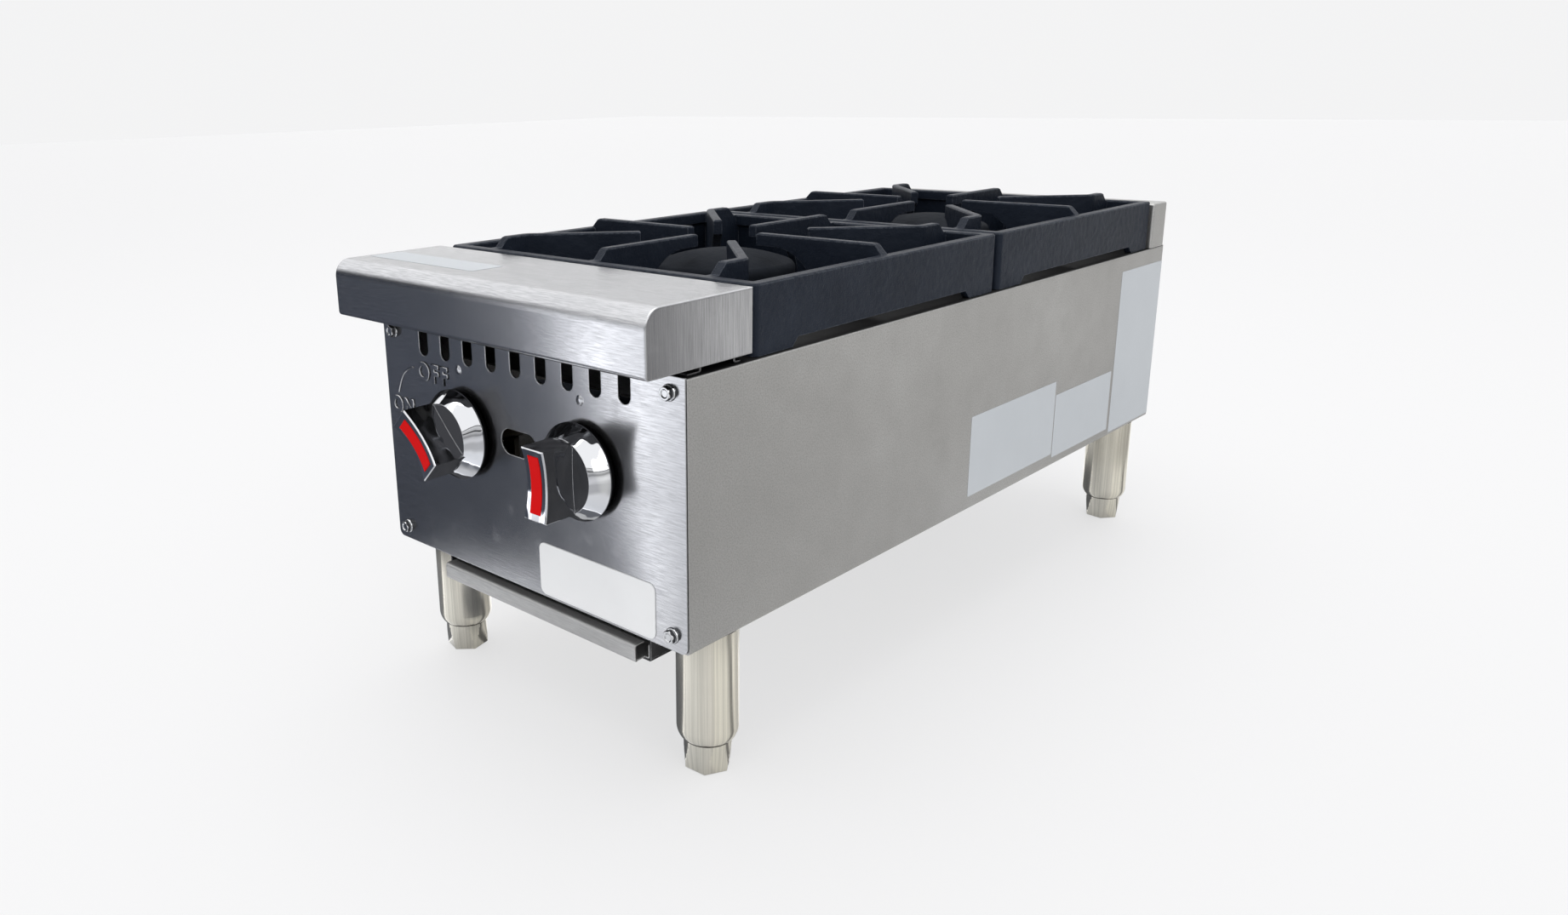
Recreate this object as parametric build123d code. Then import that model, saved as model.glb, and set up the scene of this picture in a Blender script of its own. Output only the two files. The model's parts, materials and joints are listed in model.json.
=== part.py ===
from build123d import *
import os
from math import sqrt

# A countertop gas hot plate with two burners, one behind the other.
# X runs to the right as seen from the front, Y to the back and Z up.
# Every piece is placed with the front panel's face at Y = 0 and the floor at Z = 0,
# and is moved back to the centre of the whole object as it is written.

# Sheet metal
SHEET = 1.2
STRONG_SHEET = 2.0
BEND = 1.5

# Clearances between pieces
SEAT_GAP = 0.3
PLATE_GAP = 0.1
RUNNING_FIT = 0.08
SCREW_GAP = 0.3
END_GAP = 1.5

# How far a cutting tool runs past the face that it leaves by
OVERCUT = 1.0

# Body
BODY_WIDTH = 300.0
UNDERSIDE_HEIGHT = 100.5
BODY_HEIGHT = 172.0
SIDE_TOP_FLANGE = 20.0
SIDE_BOTTOM_FLANGE = 44.0
END_FLANGE = 15.0
PANEL_FLANGE = 15.0
PANEL_FLANGE_GAP = 5.0
PANEL_CORNER_RADIUS = 5.0
PANEL_REVEAL = 0.5

# Vent slots in the front panel
SLOT_COUNT = 9
SLOT_PITCH = 25.2
SLOT_WIDTH = 10.5
SLOT_HEIGHT = 21.0
SLOT_TOP_BELOW_PANEL = 2.7
LIGHTING_SLOT_WIDTH = 36.0
LIGHTING_SLOT_HEIGHT = 18.0
LIGHTING_SLOT_RISE = 4.0
DIMPLE_RADIUS = 3.4
DIMPLE_HEIGHT = 0.9
DIMPLE_RISE = 45.0
KNOB_HOLE_RADIUS = 12.0

# Front ledge
CAP_SIDE_OVERHANG = 2.5
CAP_OVERHANG = 34.3
CAP_DEPTH = 90.8
CAP_HEIGHT = 39.7
CAP_LIFT = 4.8
CAP_NOSE_RADIUS = 12.0
CAP_LOWER_RADIUS = 3.0
CAP_END_ROUNDING = 1.0
CAP_RETURN = 13.0
SUPPORT_INSET = 3.0
SUPPORT_FRONT = 5.0
SUPPORT_FOOT = 11.0
SUPPORT_TOP = 30.0
SUPPORT_REAR_FOOT = 5.5

# Rear riser
RISER_DEPTH = 30.7
RISER_HEIGHT = 42.0
RISER_ROUNDING = 2.0
RISER_INSET = 2.0

# Spill baffle behind the gas valves
BAFFLE_Y = 58.0
BAFFLE_CLEARANCE = 7.7
BAFFLE_LIP = 8.0
BAFFLE_LIP_DROP = 4.0

# Grates
GRATE_INSET = 2.0
GRATE_LENGTH = 292.5
GRATE_HEIGHT = 44.2
GRATE_GAP = 6.5
GRATE_FRONT_GAP = 7.25
GRATE_REAR_GAP = 4.05
GRATE_WALL = 6.0
GRATE_BAND_WIDTH = 9.0
GRATE_BAND_HEIGHT = 9.0
GRATE_CORNER = 4.0
GRATE_FOOT_LENGTH = 36.0
GRATE_NOTCH_RISE = 6.0
GRATE_NOTCH_SLOPE = 7.0
FINGER_RISE = 7.5
FINGER_THICKNESS = 7.0
FINGER_TIP_DEPTH = 9.0
FINGER_ARCH_START = 50.0
FINGER_ARCH_RADIUS = 39.0
SIDE_FINGER_TIP = 34.0
CORNER_FINGER_TIP = 45.0
CORNER_FINGER_KNEE = 106.0
FINGER_END_INSET_X = 13.0
FINGER_END_INSET_Y = 20.0
FINGER_END_SLOPE = 7.5
GRATE_EDGE = 1.0

# Burners
BURNER_RADIUS = 54.0
BURNER_CAP_EDGE = 9.0
BURNER_CAP_ROUNDING = 6.0
BURNER_CAP_HEIGHT = 19.5
BURNER_CAP_FLAT = 6.0
BURNER_CAP_WALL = 4.0
BURNER_CAP_SKIRT = 40.0
BURNER_CAP_SKIRT_DEPTH = 6.0
BOWL_RADIUS = 50.0
BOWL_WALL = 5.0
BOWL_HEIGHT = 47.0
BOWL_FOOT_RADIUS = 25.0
BOWL_BELLY_RADIUS = 44.0
BOWL_BELLY_RISE = 21.5
BOWL_INSIDE_RADIUS = 38.0
BOWL_INSIDE_RISE = 23.0
BOWL_FLANGE_RADIUS = 30.0
BOWL_FLANGE = 5.0
PORT_COUNT = 24
PORT_WIDTH = 2.6
PORT_DEPTH = 6.0
RAIL_TOP_DROP = 29.0
RAIL_WIDTH = 64.0
RAIL_DEPTH = 20.0
RAIL_HOLE_GAP = 2.6
MIXER_RADIUS = 16.0
MIXER_BORE = 13.0
MIXER_BEND = 24.0
MIXER_RUN_IN = 85.0
MIXER_BELL_RADIUS = 23.0
MIXER_BELL_LENGTH = 24.0
MIXER_FACE = 3.0
MIXER_RIM = 6.0
MIXER_GAP = 21.0
AIR_HOLE_COUNT = 3
AIR_HOLE_RADIUS = 4.5
AIR_HOLE_CIRCLE = 14.0
HOOD_HOLE_RADIUS = 7.0
SHUTTER_RADIUS = 22.0
SHUTTER_TAB = 10.0
SHUTTER_TAB_WIDTH = 8.0

# Gas train
KNOB_INSET = 88.3
KNOB_RISE = 99.0
VALVE_Y = 38.0
VALVE_RADIUS = 13.0
VALVE_LENGTH = 26.0
VALVE_BOSS_RADIUS = 9.0
VALVE_BOSS_LENGTH = 6.0
VALVE_NECK_RADIUS = 5.3
VALVE_BEVEL = 1.2
SPIGOT_RADIUS = 6.5
SPIGOT_FLATS = 17.0
STEM_RADIUS = 4.0
STEM_FLAT = 2.6
STEM_END_GAP = 1.2
HOOD_HEX = 13.0
HOOD_NOSE_RADIUS = 4.5
HOOD_SHOULDER = 1.0
HOOD_TIP = 2.0
HOOD_LENGTH = 16.0
HOOD_BORE = 0.8
MANIFOLD_RADIUS = 10.65
MANIFOLD_BORE = 7.9
MANIFOLD_DROP = 38.0
MANIFOLD_END = 38.3
PLUG_RADIUS = 14.0
PLUG_LENGTH = 16.0
PLUG_BEVEL = 1.2
SUPPLY_RADIUS = 13.0
SUPPLY_BORE = 10.4
SUPPLY_INSET = 32.0
SUPPLY_HOLE_GAP = 0.6
SUPPLY_STICKOUT = 22.0
SUPPLY_BEVEL = 1.2
INLET_RADIUS = 13.35
INLET_LENGTH = 20.0
ELBOW_RADIUS = 18.0
ELBOW_SMALL_RADIUS = 15.0
ELBOW_NECK_RADIUS = 14.0
ELBOW_REACH = 26.0
ELBOW_SOCKET = 12.0
ELBOW_BEND = 18.0
BRACKET_LEFT_INSET = 16.0
BRACKET_RIGHT_INSET = 12.0
BRACKET_WIDTH = 30.0
BRACKET_FOOT = 16.0
PILOT_SPREAD = 20.0
PILOT_POST_RADIUS = 4.0
PILOT_BODY_WIDTH = 11.0
PILOT_BODY_DEPTH = 16.0
PILOT_BODY_HEIGHT = 13.0
PILOT_BODY_ROUNDING = 1.2
PILOT_SCREW_RADIUS = 3.0
PILOT_SCREW_HEAD = 2.0
PILOT_SLOT = 0.8
PILOT_SLOT_DEPTH = 1.0
PILOT_TUBE_START = 4.0
PILOT_TUBE_END_GAP = 2.0
PILOT_TUBE_RADIUS = 2.4
PILOT_TUBE_BEND = 9.0
PILOT_REACH = 57.0
PILOT_FROM_MIXER = 28.7
PILOT_RUN_OUT = 18.0
PILOT_FRONT_CROSSING = 32.0
PILOT_REAR_STEP = 9.0
PILOT_REAR_DROP = 32.0
PILOT_REAR_CROSSING = 64.0
PILOT_BELOW_RIM = 4.0
PILOT_TIP_RADIUS = 4.5
PILOT_TIP_LENGTH = 11.0

# Knobs
SKIRT_GAP = 1.0
SKIRT_RADIUS = 30.0
SKIRT_DEPTH = 4.0
SKIRT_EDGE = 1.0
BEZEL_RADIUS = 32.0
BEZEL_FACE_RADIUS = 24.2
BEZEL_DEPTH = 12.0
BEZEL_LIP = 1.0
FACE_RECESS = 0.6
BEZEL_WALL = 2.5
HUB_RADIUS = 8.0
GRIP_LENGTH = 46.0
GRIP_WIDTH = 20.0
GRIP_WAIST = 1.0
GRIP_REACH = 24.0
GRIP_DISH = 3.2
GRIP_EDGE = 0.8
INSERT_LENGTH = 37.0
INSERT_WIDTH = 9.6
INSERT_RECESS = 0.9
INSERT_PROUD = 0.3
INSERT_GAP = 0.1
LEFT_KNOB_TURN = 45.0

# Legs and feet
LEG_INSET_X = 21.2
LEG_FRONT_Y = 41.5
LEG_REAR_MARGIN = 38.0
LEG_RADIUS = 20.5
LEG_WALL = 1.5
LEG_SHOULDER = 9.0
LEG_END_RADIUS = 16.5
LEG_END_BULGE = 1.0
LEG_INSERT_HEIGHT = 20.0
LEG_CAP = 4.0
STUD_RADIUS = 5.0
STUD_LENGTH = 18.0
NUT_FLATS = 17.0
NUT_HEIGHT = 7.0
FOOT_HEIGHT = 20.8
FOOT_RADIUS = 15.9
FOOT_FLATS_BOTTOM = 27.2
FOOT_FLATS_TOP = 32.4
FOOT_BEVEL = 0.4
FOOT_STEM_RADIUS = 8.0
FOOT_STEM_LENGTH = 56.0
FOOT_TURNS = [14.0, 33.0, 5.0, 22.0]
CHANNEL_WIDTH = 46.0
CHANNEL_SIDE = 15.0

# Drip tray and its guides
TRAY_SIDE_GAP = 0.6
TRAY_FRONT = 5.0
TRAY_REAR_MARGIN = 52.0
TRAY_SHEET = 1.0
TRAY_WALL_HEIGHT = 9.5
TRAY_CORNER = 2.0
LIP_INSET = 4.0
LIP_HEIGHT = 13.0
LIP_DROP = 1.3
LIP_RETURN = 8.0
LIP_BEND = 2.0
TRAY_NECK = 9.0
TRAY_DROP = 23.2
GUIDE_SIDE_GAP = 0.7
GUIDE_FLANGE = 9.0
GUIDE_TAB = 13.0
GUIDE_SHOULDER = 2.4
GUIDE_TAB_MARGIN = 12.0

# Screws of the front and rear panels
SCREW_INSET_X = 12.8
SCREW_INSET_Z = 10.0
SCREW_SHANK = 2.0
SCREW_LENGTH = 10.0
SCREW_WASHER = 5.2
SCREW_WASHER_HEIGHT = 1.1
SCREW_HEX = 7.9
SCREW_HEX_HEIGHT = 3.2

# Levels and places that follow from the sizes above
HALF_BODY = BODY_WIDTH / 2
SIDE_TOP = UNDERSIDE_HEIGHT + BODY_HEIGHT
INNER_HALF = HALF_BODY - SHEET
PANEL_HALF = HALF_BODY - PANEL_REVEAL
SIDE_FRONT = SHEET + PLATE_GAP
CAP_BOTTOM = SIDE_TOP + CAP_LIFT
CAP_TOP = CAP_BOTTOM + CAP_HEIGHT
CAP_BACK = CAP_DEPTH - CAP_OVERHANG
CAP_HALF = HALF_BODY + CAP_SIDE_OVERHANG
SUPPORT_HALF = HALF_BODY - SUPPORT_INSET
GRATE_WIDTH = BODY_WIDTH - 2 * GRATE_INSET
GRATE_FRONT = CAP_BACK + GRATE_FRONT_GAP
GRATES_BACK = GRATE_FRONT + 2 * GRATE_LENGTH + GRATE_GAP
BODY_LENGTH = GRATES_BACK + GRATE_REAR_GAP + RISER_DEPTH + RISER_INSET
SIDE_BACK = BODY_LENGTH - SHEET - PLATE_GAP
GRATE_BOTTOM = SIDE_TOP + SEAT_GAP
GRATE_TOP = GRATE_BOTTOM + GRATE_HEIGHT
FINGER_TOP = GRATE_TOP + FINGER_RISE
KNOB_X = HALF_BODY - KNOB_INSET
KNOB_Z = UNDERSIDE_HEIGHT + KNOB_RISE
MANIFOLD_Z = KNOB_Z - MANIFOLD_DROP
MANIFOLD_LEFT = KNOB_X + MANIFOLD_END
SUPPLY_X = HALF_BODY - SUPPLY_INSET
BRACKET_LEFT_X = BRACKET_LEFT_INSET - MANIFOLD_LEFT
BRACKET_RIGHT_X = SUPPLY_X - ELBOW_REACH - BRACKET_RIGHT_INSET
MIXER_MOUTH = VALVE_Y + VALVE_LENGTH / 2 + MIXER_GAP
RAIL_TOP = SIDE_TOP - RAIL_TOP_DROP
BURNER_Y = [GRATE_FRONT + GRATE_LENGTH / 2, GRATES_BACK - GRATE_LENGTH / 2]
BURNER_X = [-KNOB_X, KNOB_X]
BURNER_NAMES = ["front", "rear"]
BOWL_TOP = RAIL_TOP + BOWL_HEIGHT
FLANGE_TOP = UNDERSIDE_HEIGHT + SHEET
CHANNEL_TOP = FLANGE_TOP + STRONG_SHEET
TRAY_FLOOR = UNDERSIDE_HEIGHT - TRAY_DROP
GUIDE_FLOOR = TRAY_FLOOR - SEAT_GAP - SHEET
GUIDE_INNER = HALF_BODY - SIDE_BOTTOM_FLANGE - GUIDE_SIDE_GAP - SHEET
TRAY_HALF = GUIDE_INNER - TRAY_SIDE_GAP
TRAY_PAN_FRONT = TRAY_FRONT + TRAY_NECK
TRAY_BACK = BODY_LENGTH - TRAY_REAR_MARGIN
GUIDE_BACK = TRAY_BACK + SEAT_GAP
LEG_X = HALF_BODY - LEG_INSET_X
LEG_Y = [LEG_FRONT_Y, BODY_LENGTH - LEG_REAR_MARGIN]
SCREW_X = HALF_BODY - SCREW_INSET_X
SCREW_Z = [UNDERSIDE_HEIGHT + SCREW_INSET_Z, SIDE_TOP - SCREW_INSET_Z]
KNOB_FACE_Y = -(SKIRT_GAP + SKIRT_DEPTH + BEZEL_DEPTH)
KNOB_FRONT_Y = KNOB_FACE_Y - GRIP_REACH
SUPPLY_END = BODY_LENGTH + SUPPLY_STICKOUT
CENTRE_Y = (KNOB_FRONT_Y + SUPPLY_END) / 2

pieces = {}


def keep(name, shape):
    pieces[name] = Pos(0, -CENTRE_Y, 0) * shape


def along_y(outline, start, end):
    """Extrude an outline drawn in X and Z from one Y to another."""
    plane = Plane(origin=(0, start, 0), x_dir=(1, 0, 0), z_dir=(0, -1, 0))
    return extrude(plane * outline, amount=start - end)


def across_x(outline, start, end):
    """Extrude an outline drawn in Y and Z from one X to another."""
    return extrude(Plane.YZ.offset(start) * outline, amount=end - start)


def upward(outline, start, end):
    """Extrude an outline drawn in X and Y from one Z to another."""
    return extrude(Plane.XY.offset(start) * outline, amount=end - start)


def block(x, y, z):
    """A block from its low and high X, Y and Z."""
    size = Box(x[1] - x[0], y[1] - y[0], z[1] - z[0], align=(Align.MIN, Align.MIN, Align.MIN))
    return Pos(x[0], y[0], z[0]) * size


def rod_y(radius, x, z, start, end):
    return Pos(x, 0, 0) * along_y(Pos(0, z) * Circle(radius), start, end)


def rod_z(radius, x, y, start, end):
    return upward(Pos(x, y) * Circle(radius), start, end)


def rod_x(radius, y, z, start, end):
    return across_x(Pos(y, z) * Circle(radius), start, end)


def bent(points, radii, thickness=SHEET):
    """The section of a folded sheet whose middle line runs through the points."""
    return trace(FilletPolyline(*points, radius=radii), line_width=thickness)


def turned_y(points, x, z):
    """A turned piece about a Y axis, from a closed outline of radius and Y."""
    outline = make_face(Polyline(*points, close=True))
    return Pos(x, 0, z) * revolve(outline, axis=Axis.Y)


def turned_z(points, x, y):
    """A turned piece about a Z axis, from a closed outline of radius and Z."""
    outline = make_face(Polyline(*points, close=True))
    return Pos(x, y, 0) * revolve(Plane.XZ * outline, axis=Axis.Z)


def hexagon(flats):
    return RegularPolygon(flats / 2, 6, major_radius=False)


# Side panels: one folded sheet each, with flanges along all four edges
def side_panel():
    middle = HALF_BODY - SHEET / 2
    low = UNDERSIDE_HEIGHT + SHEET / 2
    high = SIDE_TOP - SHEET / 2
    points = [
        (HALF_BODY - SIDE_BOTTOM_FLANGE, low),
        (middle, low),
        (middle, high),
        (HALF_BODY - SIDE_TOP_FLANGE, high),
    ]
    panel = along_y(bent(points, BEND), SIDE_FRONT, SIDE_BACK)
    for start in (SIDE_FRONT, SIDE_BACK - SHEET):
        panel += block((INNER_HALF - END_FLANGE, middle), (start, start + SHEET), (low, high))
    for z in SCREW_Z:
        panel -= rod_y(SCREW_SHANK + SCREW_GAP, SCREW_X, z, 0, BODY_LENGTH)
    for y in LEG_Y:
        panel -= rod_z(STUD_RADIUS + SCREW_GAP, LEG_X, y, UNDERSIDE_HEIGHT - OVERCUT, FLANGE_TOP + OVERCUT)
    return panel


# Front and rear panels: flat sheets with a flange turned in at the top and the bottom
def flat_panel():
    width = 2 * PANEL_HALF
    outline = Pos(0, UNDERSIDE_HEIGHT + BODY_HEIGHT / 2) * Rectangle(width, BODY_HEIGHT)
    corners = outline.vertices().group_by(Axis.Y)[0]
    outline = fillet(corners, PANEL_CORNER_RADIUS)
    panel = along_y(outline, 0, SHEET)
    low_half = HALF_BODY - SIDE_BOTTOM_FLANGE - PLATE_GAP
    high_half = HALF_BODY - SIDE_TOP_FLANGE - PANEL_FLANGE_GAP
    for half, z in ((low_half, UNDERSIDE_HEIGHT), (high_half, SIDE_TOP - SHEET)):
        panel += block((-half, half), (0, PANEL_FLANGE), (z, z + SHEET))
    for x in (-SCREW_X, SCREW_X):
        for z in SCREW_Z:
            panel -= rod_y(SCREW_SHANK + SCREW_GAP, x, z, -OVERCUT, SHEET + OVERCUT)
    return panel


def front_panel():
    panel = flat_panel()
    slot_z = SIDE_TOP - SLOT_TOP_BELOW_PANEL - SLOT_HEIGHT / 2
    for index in range(SLOT_COUNT):
        x = (index - (SLOT_COUNT - 1) / 2) * SLOT_PITCH
        slot = Pos(x, slot_z) * SlotOverall(SLOT_HEIGHT, SLOT_WIDTH, rotation=90)
        panel -= along_y(slot, -OVERCUT, SHEET + OVERCUT)
    lighting = SlotOverall(LIGHTING_SLOT_WIDTH, LIGHTING_SLOT_HEIGHT)
    panel -= along_y(Pos(0, KNOB_Z + LIGHTING_SLOT_RISE) * lighting, -OVERCUT, SHEET + OVERCUT)
    for x in BURNER_X:
        panel -= rod_y(KNOB_HOLE_RADIUS, x, KNOB_Z, -OVERCUT, SHEET + OVERCUT)
        panel += dimple(x, KNOB_Z + DIMPLE_RISE)
    return panel


def dimple(x, z):
    """A round pip pressed out of the panel, a low cap of a ball."""
    ball = (DIMPLE_RADIUS ** 2 + DIMPLE_HEIGHT ** 2) / (2 * DIMPLE_HEIGHT)
    whole = Pos(x, ball - DIMPLE_HEIGHT, z) * Sphere(ball)
    return whole & rod_y(DIMPLE_RADIUS, x, z, -DIMPLE_HEIGHT, SHEET / 2)


def rear_panel():
    panel = Pos(0, BODY_LENGTH, 0) * mirror(flat_panel(), about=Plane.XZ)
    hole = SUPPLY_RADIUS + SUPPLY_HOLE_GAP
    inside = BODY_LENGTH - SHEET
    return panel - rod_y(hole, SUPPLY_X, MANIFOLD_Z, inside - OVERCUT, BODY_LENGTH + OVERCUT)


# Front ledge: a folded shell, closed at its ends and open below, on an inner support
def ledge_outline(inset):
    front = -CAP_OVERHANG + inset
    back = CAP_BACK - inset
    low = CAP_BOTTOM + inset
    high = CAP_TOP - inset
    outline = make_face(Polyline((front, low), (back, low), (back, high), (front, high), close=True))
    corners = outline.vertices()
    nose = corners.group_by(Axis.X)[0].sort_by(Axis.Y)
    outline = fillet([nose[1]], CAP_NOSE_RADIUS - inset)
    lower = outline.vertices().group_by(Axis.Y)[0].sort_by(Axis.X)[0]
    return fillet([lower], CAP_LOWER_RADIUS - inset)


def bullnose_cap():
    half = CAP_HALF
    shell = across_x(ledge_outline(0), -half, half)
    ends = shell.edges().filter_by(lambda edge: abs(abs(edge.center().X) - half) < PLATE_GAP)
    rounded = [edge for edge in ends if edge.center().Z > CAP_BOTTOM + PLATE_GAP]
    shell = fillet(rounded, CAP_END_ROUNDING)
    shell -= across_x(ledge_outline(SHEET), SHEET - half, half - SHEET)
    mouth_y = (CAP_RETURN - CAP_OVERHANG, CAP_BACK - SHEET)
    mouth_z = (CAP_BOTTOM - OVERCUT, CAP_BOTTOM + SHEET + OVERCUT)
    return shell - block((SHEET - half, half - SHEET), mouth_y, mouth_z)


def ledge_support():
    low = SIDE_TOP + SHEET / 2
    high = CAP_TOP - SHEET - SHEET / 2
    front = SUPPORT_FRONT + SUPPORT_FOOT
    back = front + SUPPORT_TOP
    points = [
        (SUPPORT_FRONT, low),
        (front, low),
        (front, high),
        (back, high),
        (back, low),
        (back + SUPPORT_REAR_FOOT, low),
    ]
    return across_x(bent(points, BEND), -SUPPORT_HALF, SUPPORT_HALF)


def rear_riser():
    back = BODY_LENGTH - RISER_INSET
    front = back - RISER_DEPTH
    shell = block((-HALF_BODY, HALF_BODY), (front, back), (SIDE_TOP, SIDE_TOP + RISER_HEIGHT))
    upper = [edge for edge in shell.edges() if edge.center().Z > SIDE_TOP + PLATE_GAP]
    shell = fillet(upper, RISER_ROUNDING)
    inner_x = (SHEET - HALF_BODY, HALF_BODY - SHEET)
    inner_z = (SIDE_TOP - OVERCUT, SIDE_TOP + RISER_HEIGHT - SHEET)
    return shell - block(inner_x, (front + SHEET, back - SHEET), inner_z)


def front_baffle():
    """A spill baffle between the gas valves and the front burner."""
    low = KNOB_Z + SHUTTER_RADIUS + BAFFLE_CLEARANCE
    points = [
        (BAFFLE_Y, SIDE_TOP - SHEET - PLATE_GAP),
        (BAFFLE_Y, low + BAFFLE_LIP_DROP),
        (BAFFLE_Y + BAFFLE_LIP, low),
    ]
    return across_x(bent(points, BEND), END_GAP - INNER_HALF, INNER_HALF - END_GAP)


# Channels across the body that take the legs
def leg_channel(y):
    half = INNER_HALF - END_GAP
    low = FLANGE_TOP + STRONG_SHEET / 2
    inner = CHANNEL_WIDTH / 2 - STRONG_SHEET / 2
    points = [
        (y - inner, low + CHANNEL_SIDE),
        (y - inner, low),
        (y + inner, low),
        (y + inner, low + CHANNEL_SIDE),
    ]
    channel = across_x(bent(points, STRONG_SHEET, STRONG_SHEET), -half, half)
    for x in (-LEG_X, LEG_X):
        channel -= rod_z(STUD_RADIUS + SCREW_GAP, x, y, FLANGE_TOP - OVERCUT, CHANNEL_TOP + OVERCUT)
    return channel


def leg(x, y):
    """A hollow leg with a rounded lower end, a threaded insert for its foot and a stud."""
    top = UNDERSIDE_HEIGHT
    bottom = FOOT_HEIGHT + SEAT_GAP
    bore = FOOT_STEM_RADIUS + SEAT_GAP
    shoulder = bottom + LEG_SHOULDER
    outline = [
        Line((bore, bottom), (LEG_END_RADIUS, bottom)),
        ThreePointArc(
            (LEG_END_RADIUS, bottom),
            (LEG_RADIUS - LEG_END_BULGE, bottom + LEG_SHOULDER / 2),
            (LEG_RADIUS, shoulder),
        ),
        Line((LEG_RADIUS, shoulder), (LEG_RADIUS, top)),
        Line((LEG_RADIUS, top), (STUD_RADIUS, top)),
        Line((STUD_RADIUS, top), (STUD_RADIUS, top + STUD_LENGTH)),
        Line((STUD_RADIUS, top + STUD_LENGTH), (0, top + STUD_LENGTH)),
        Line((0, top + STUD_LENGTH), (0, top - LEG_CAP)),
        Line((0, top - LEG_CAP), (LEG_RADIUS - LEG_WALL, top - LEG_CAP)),
        Line((LEG_RADIUS - LEG_WALL, top - LEG_CAP), (LEG_RADIUS - LEG_WALL, bottom + LEG_INSERT_HEIGHT)),
        Line((LEG_RADIUS - LEG_WALL, bottom + LEG_INSERT_HEIGHT), (bore, bottom + LEG_INSERT_HEIGHT)),
        Line((bore, bottom + LEG_INSERT_HEIGHT), (bore, bottom)),
    ]
    return Pos(x, y, 0) * revolve(Plane.XZ * make_face(outline), axis=Axis.Z)


def foot(x, y, turn):
    """An adjustable foot: a round collar with six tapering flats, screwed round as far as it goes."""
    collar = rod_z(FOOT_RADIUS, 0, 0, 0, FOOT_HEIGHT)
    collar = chamfer(collar.edges().group_by(Axis.Z)[0], FOOT_BEVEL)
    wrench = loft([
        Plane.XY * hexagon(FOOT_FLATS_BOTTOM),
        Plane.XY.offset(FOOT_HEIGHT) * hexagon(FOOT_FLATS_TOP),
    ], ruled=True)
    stem = rod_z(FOOT_STEM_RADIUS, 0, 0, FOOT_HEIGHT / 2, FOOT_HEIGHT + FOOT_STEM_LENGTH)
    return Pos(x, y, 0) * Rot(0, 0, turn) * ((collar & wrench) + stem)


def leg_nuts():
    nuts = []
    for x in (-LEG_X, LEG_X):
        for y in LEG_Y:
            ring = hexagon(NUT_FLATS) - Circle(STUD_RADIUS + PLATE_GAP)
            nuts.append(Pos(x, y, 0) * upward(ring, CHANNEL_TOP, CHANNEL_TOP + NUT_HEIGHT))
    return Compound(children=nuts)


# Grates
def finger_plan(half_width, half_length):
    """The fingers seen from above, before their undersides are hollowed."""
    blade = FINGER_THICKNESS
    plan = Sketch()
    for direction in (-1, 1):
        reach_x = half_width - GRATE_WALL / 2
        reach_y = half_length - GRATE_WALL / 2
        middle_x = direction * (SIDE_FINGER_TIP + reach_x) / 2
        middle_y = direction * (SIDE_FINGER_TIP + reach_y) / 2
        plan += Pos(middle_x, 0) * Rectangle(reach_x - SIDE_FINGER_TIP, blade)
        plan += Pos(0, middle_y) * Rectangle(blade, reach_y - SIDE_FINGER_TIP)
        for side in (-1, 1):
            tip = (side * CORNER_FINGER_TIP, direction * CORNER_FINGER_TIP)
            knee = (side * CORNER_FINGER_KNEE, direction * CORNER_FINGER_KNEE)
            end = (side * CORNER_FINGER_KNEE, direction * reach_y)
            plan += trace(FilletPolyline(tip, knee, end, radius=blade), line_width=blade)
    return plan


def finger_roof(half_width, half_length):
    """The space below the fingers' tops, which slope down to the frame at their ends."""
    body = upward(Rectangle(2 * half_width, 2 * half_length), GRATE_BOTTOM, GRATE_TOP)
    top_x = half_width - FINGER_END_INSET_X
    top_y = half_length - FINGER_END_INSET_Y
    low_x = top_x + FINGER_END_SLOPE
    low_y = top_y + FINGER_END_SLOPE
    slope = loft([
        Plane.XY.offset(GRATE_TOP) * Rectangle(2 * low_x, 2 * low_y),
        Plane.XY.offset(FINGER_TOP) * Rectangle(2 * top_x, 2 * top_y),
    ], ruled=True)
    return body + slope


def finger_hollow():
    """The round hollow over the burner that gives every finger its arched underside."""
    tip_z = FINGER_TOP - FINGER_TIP_DEPTH
    outer = FINGER_ARCH_START + FINGER_ARCH_RADIUS
    spring = tip_z - FINGER_ARCH_RADIUS
    bend = FINGER_ARCH_RADIUS / sqrt(2)
    floor = GRATE_BOTTOM - GRATE_NOTCH_RISE
    inner = FINGER_ARCH_START
    outline = [
        Line((0, floor), (outer, floor)),
        Line((outer, floor), (outer, spring)),
        ThreePointArc((outer, spring), (inner + bend, spring + bend), (inner, tip_z)),
        Line((inner, tip_z), (0, tip_z)),
        Line((0, tip_z), (0, floor)),
    ]
    return revolve(Plane.XZ * make_face(outline), axis=Axis.Z)


def grate_frame(half_width, half_length):
    outer = fillet(Rectangle(2 * half_width, 2 * half_length).vertices(), GRATE_CORNER)
    inner = Rectangle(2 * (half_width - GRATE_WALL), 2 * (half_length - GRATE_WALL))
    band = Rectangle(2 * (half_width - GRATE_BAND_WIDTH), 2 * (half_length - GRATE_BAND_WIDTH))
    frame = upward(outer - inner, GRATE_BOTTOM, GRATE_TOP)
    frame += upward(outer - band, GRATE_TOP - GRATE_BAND_HEIGHT, GRATE_TOP)
    crest = frame.edges().group_by(Axis.Z)[-1]
    return chamfer(crest, GRATE_EDGE)


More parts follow.
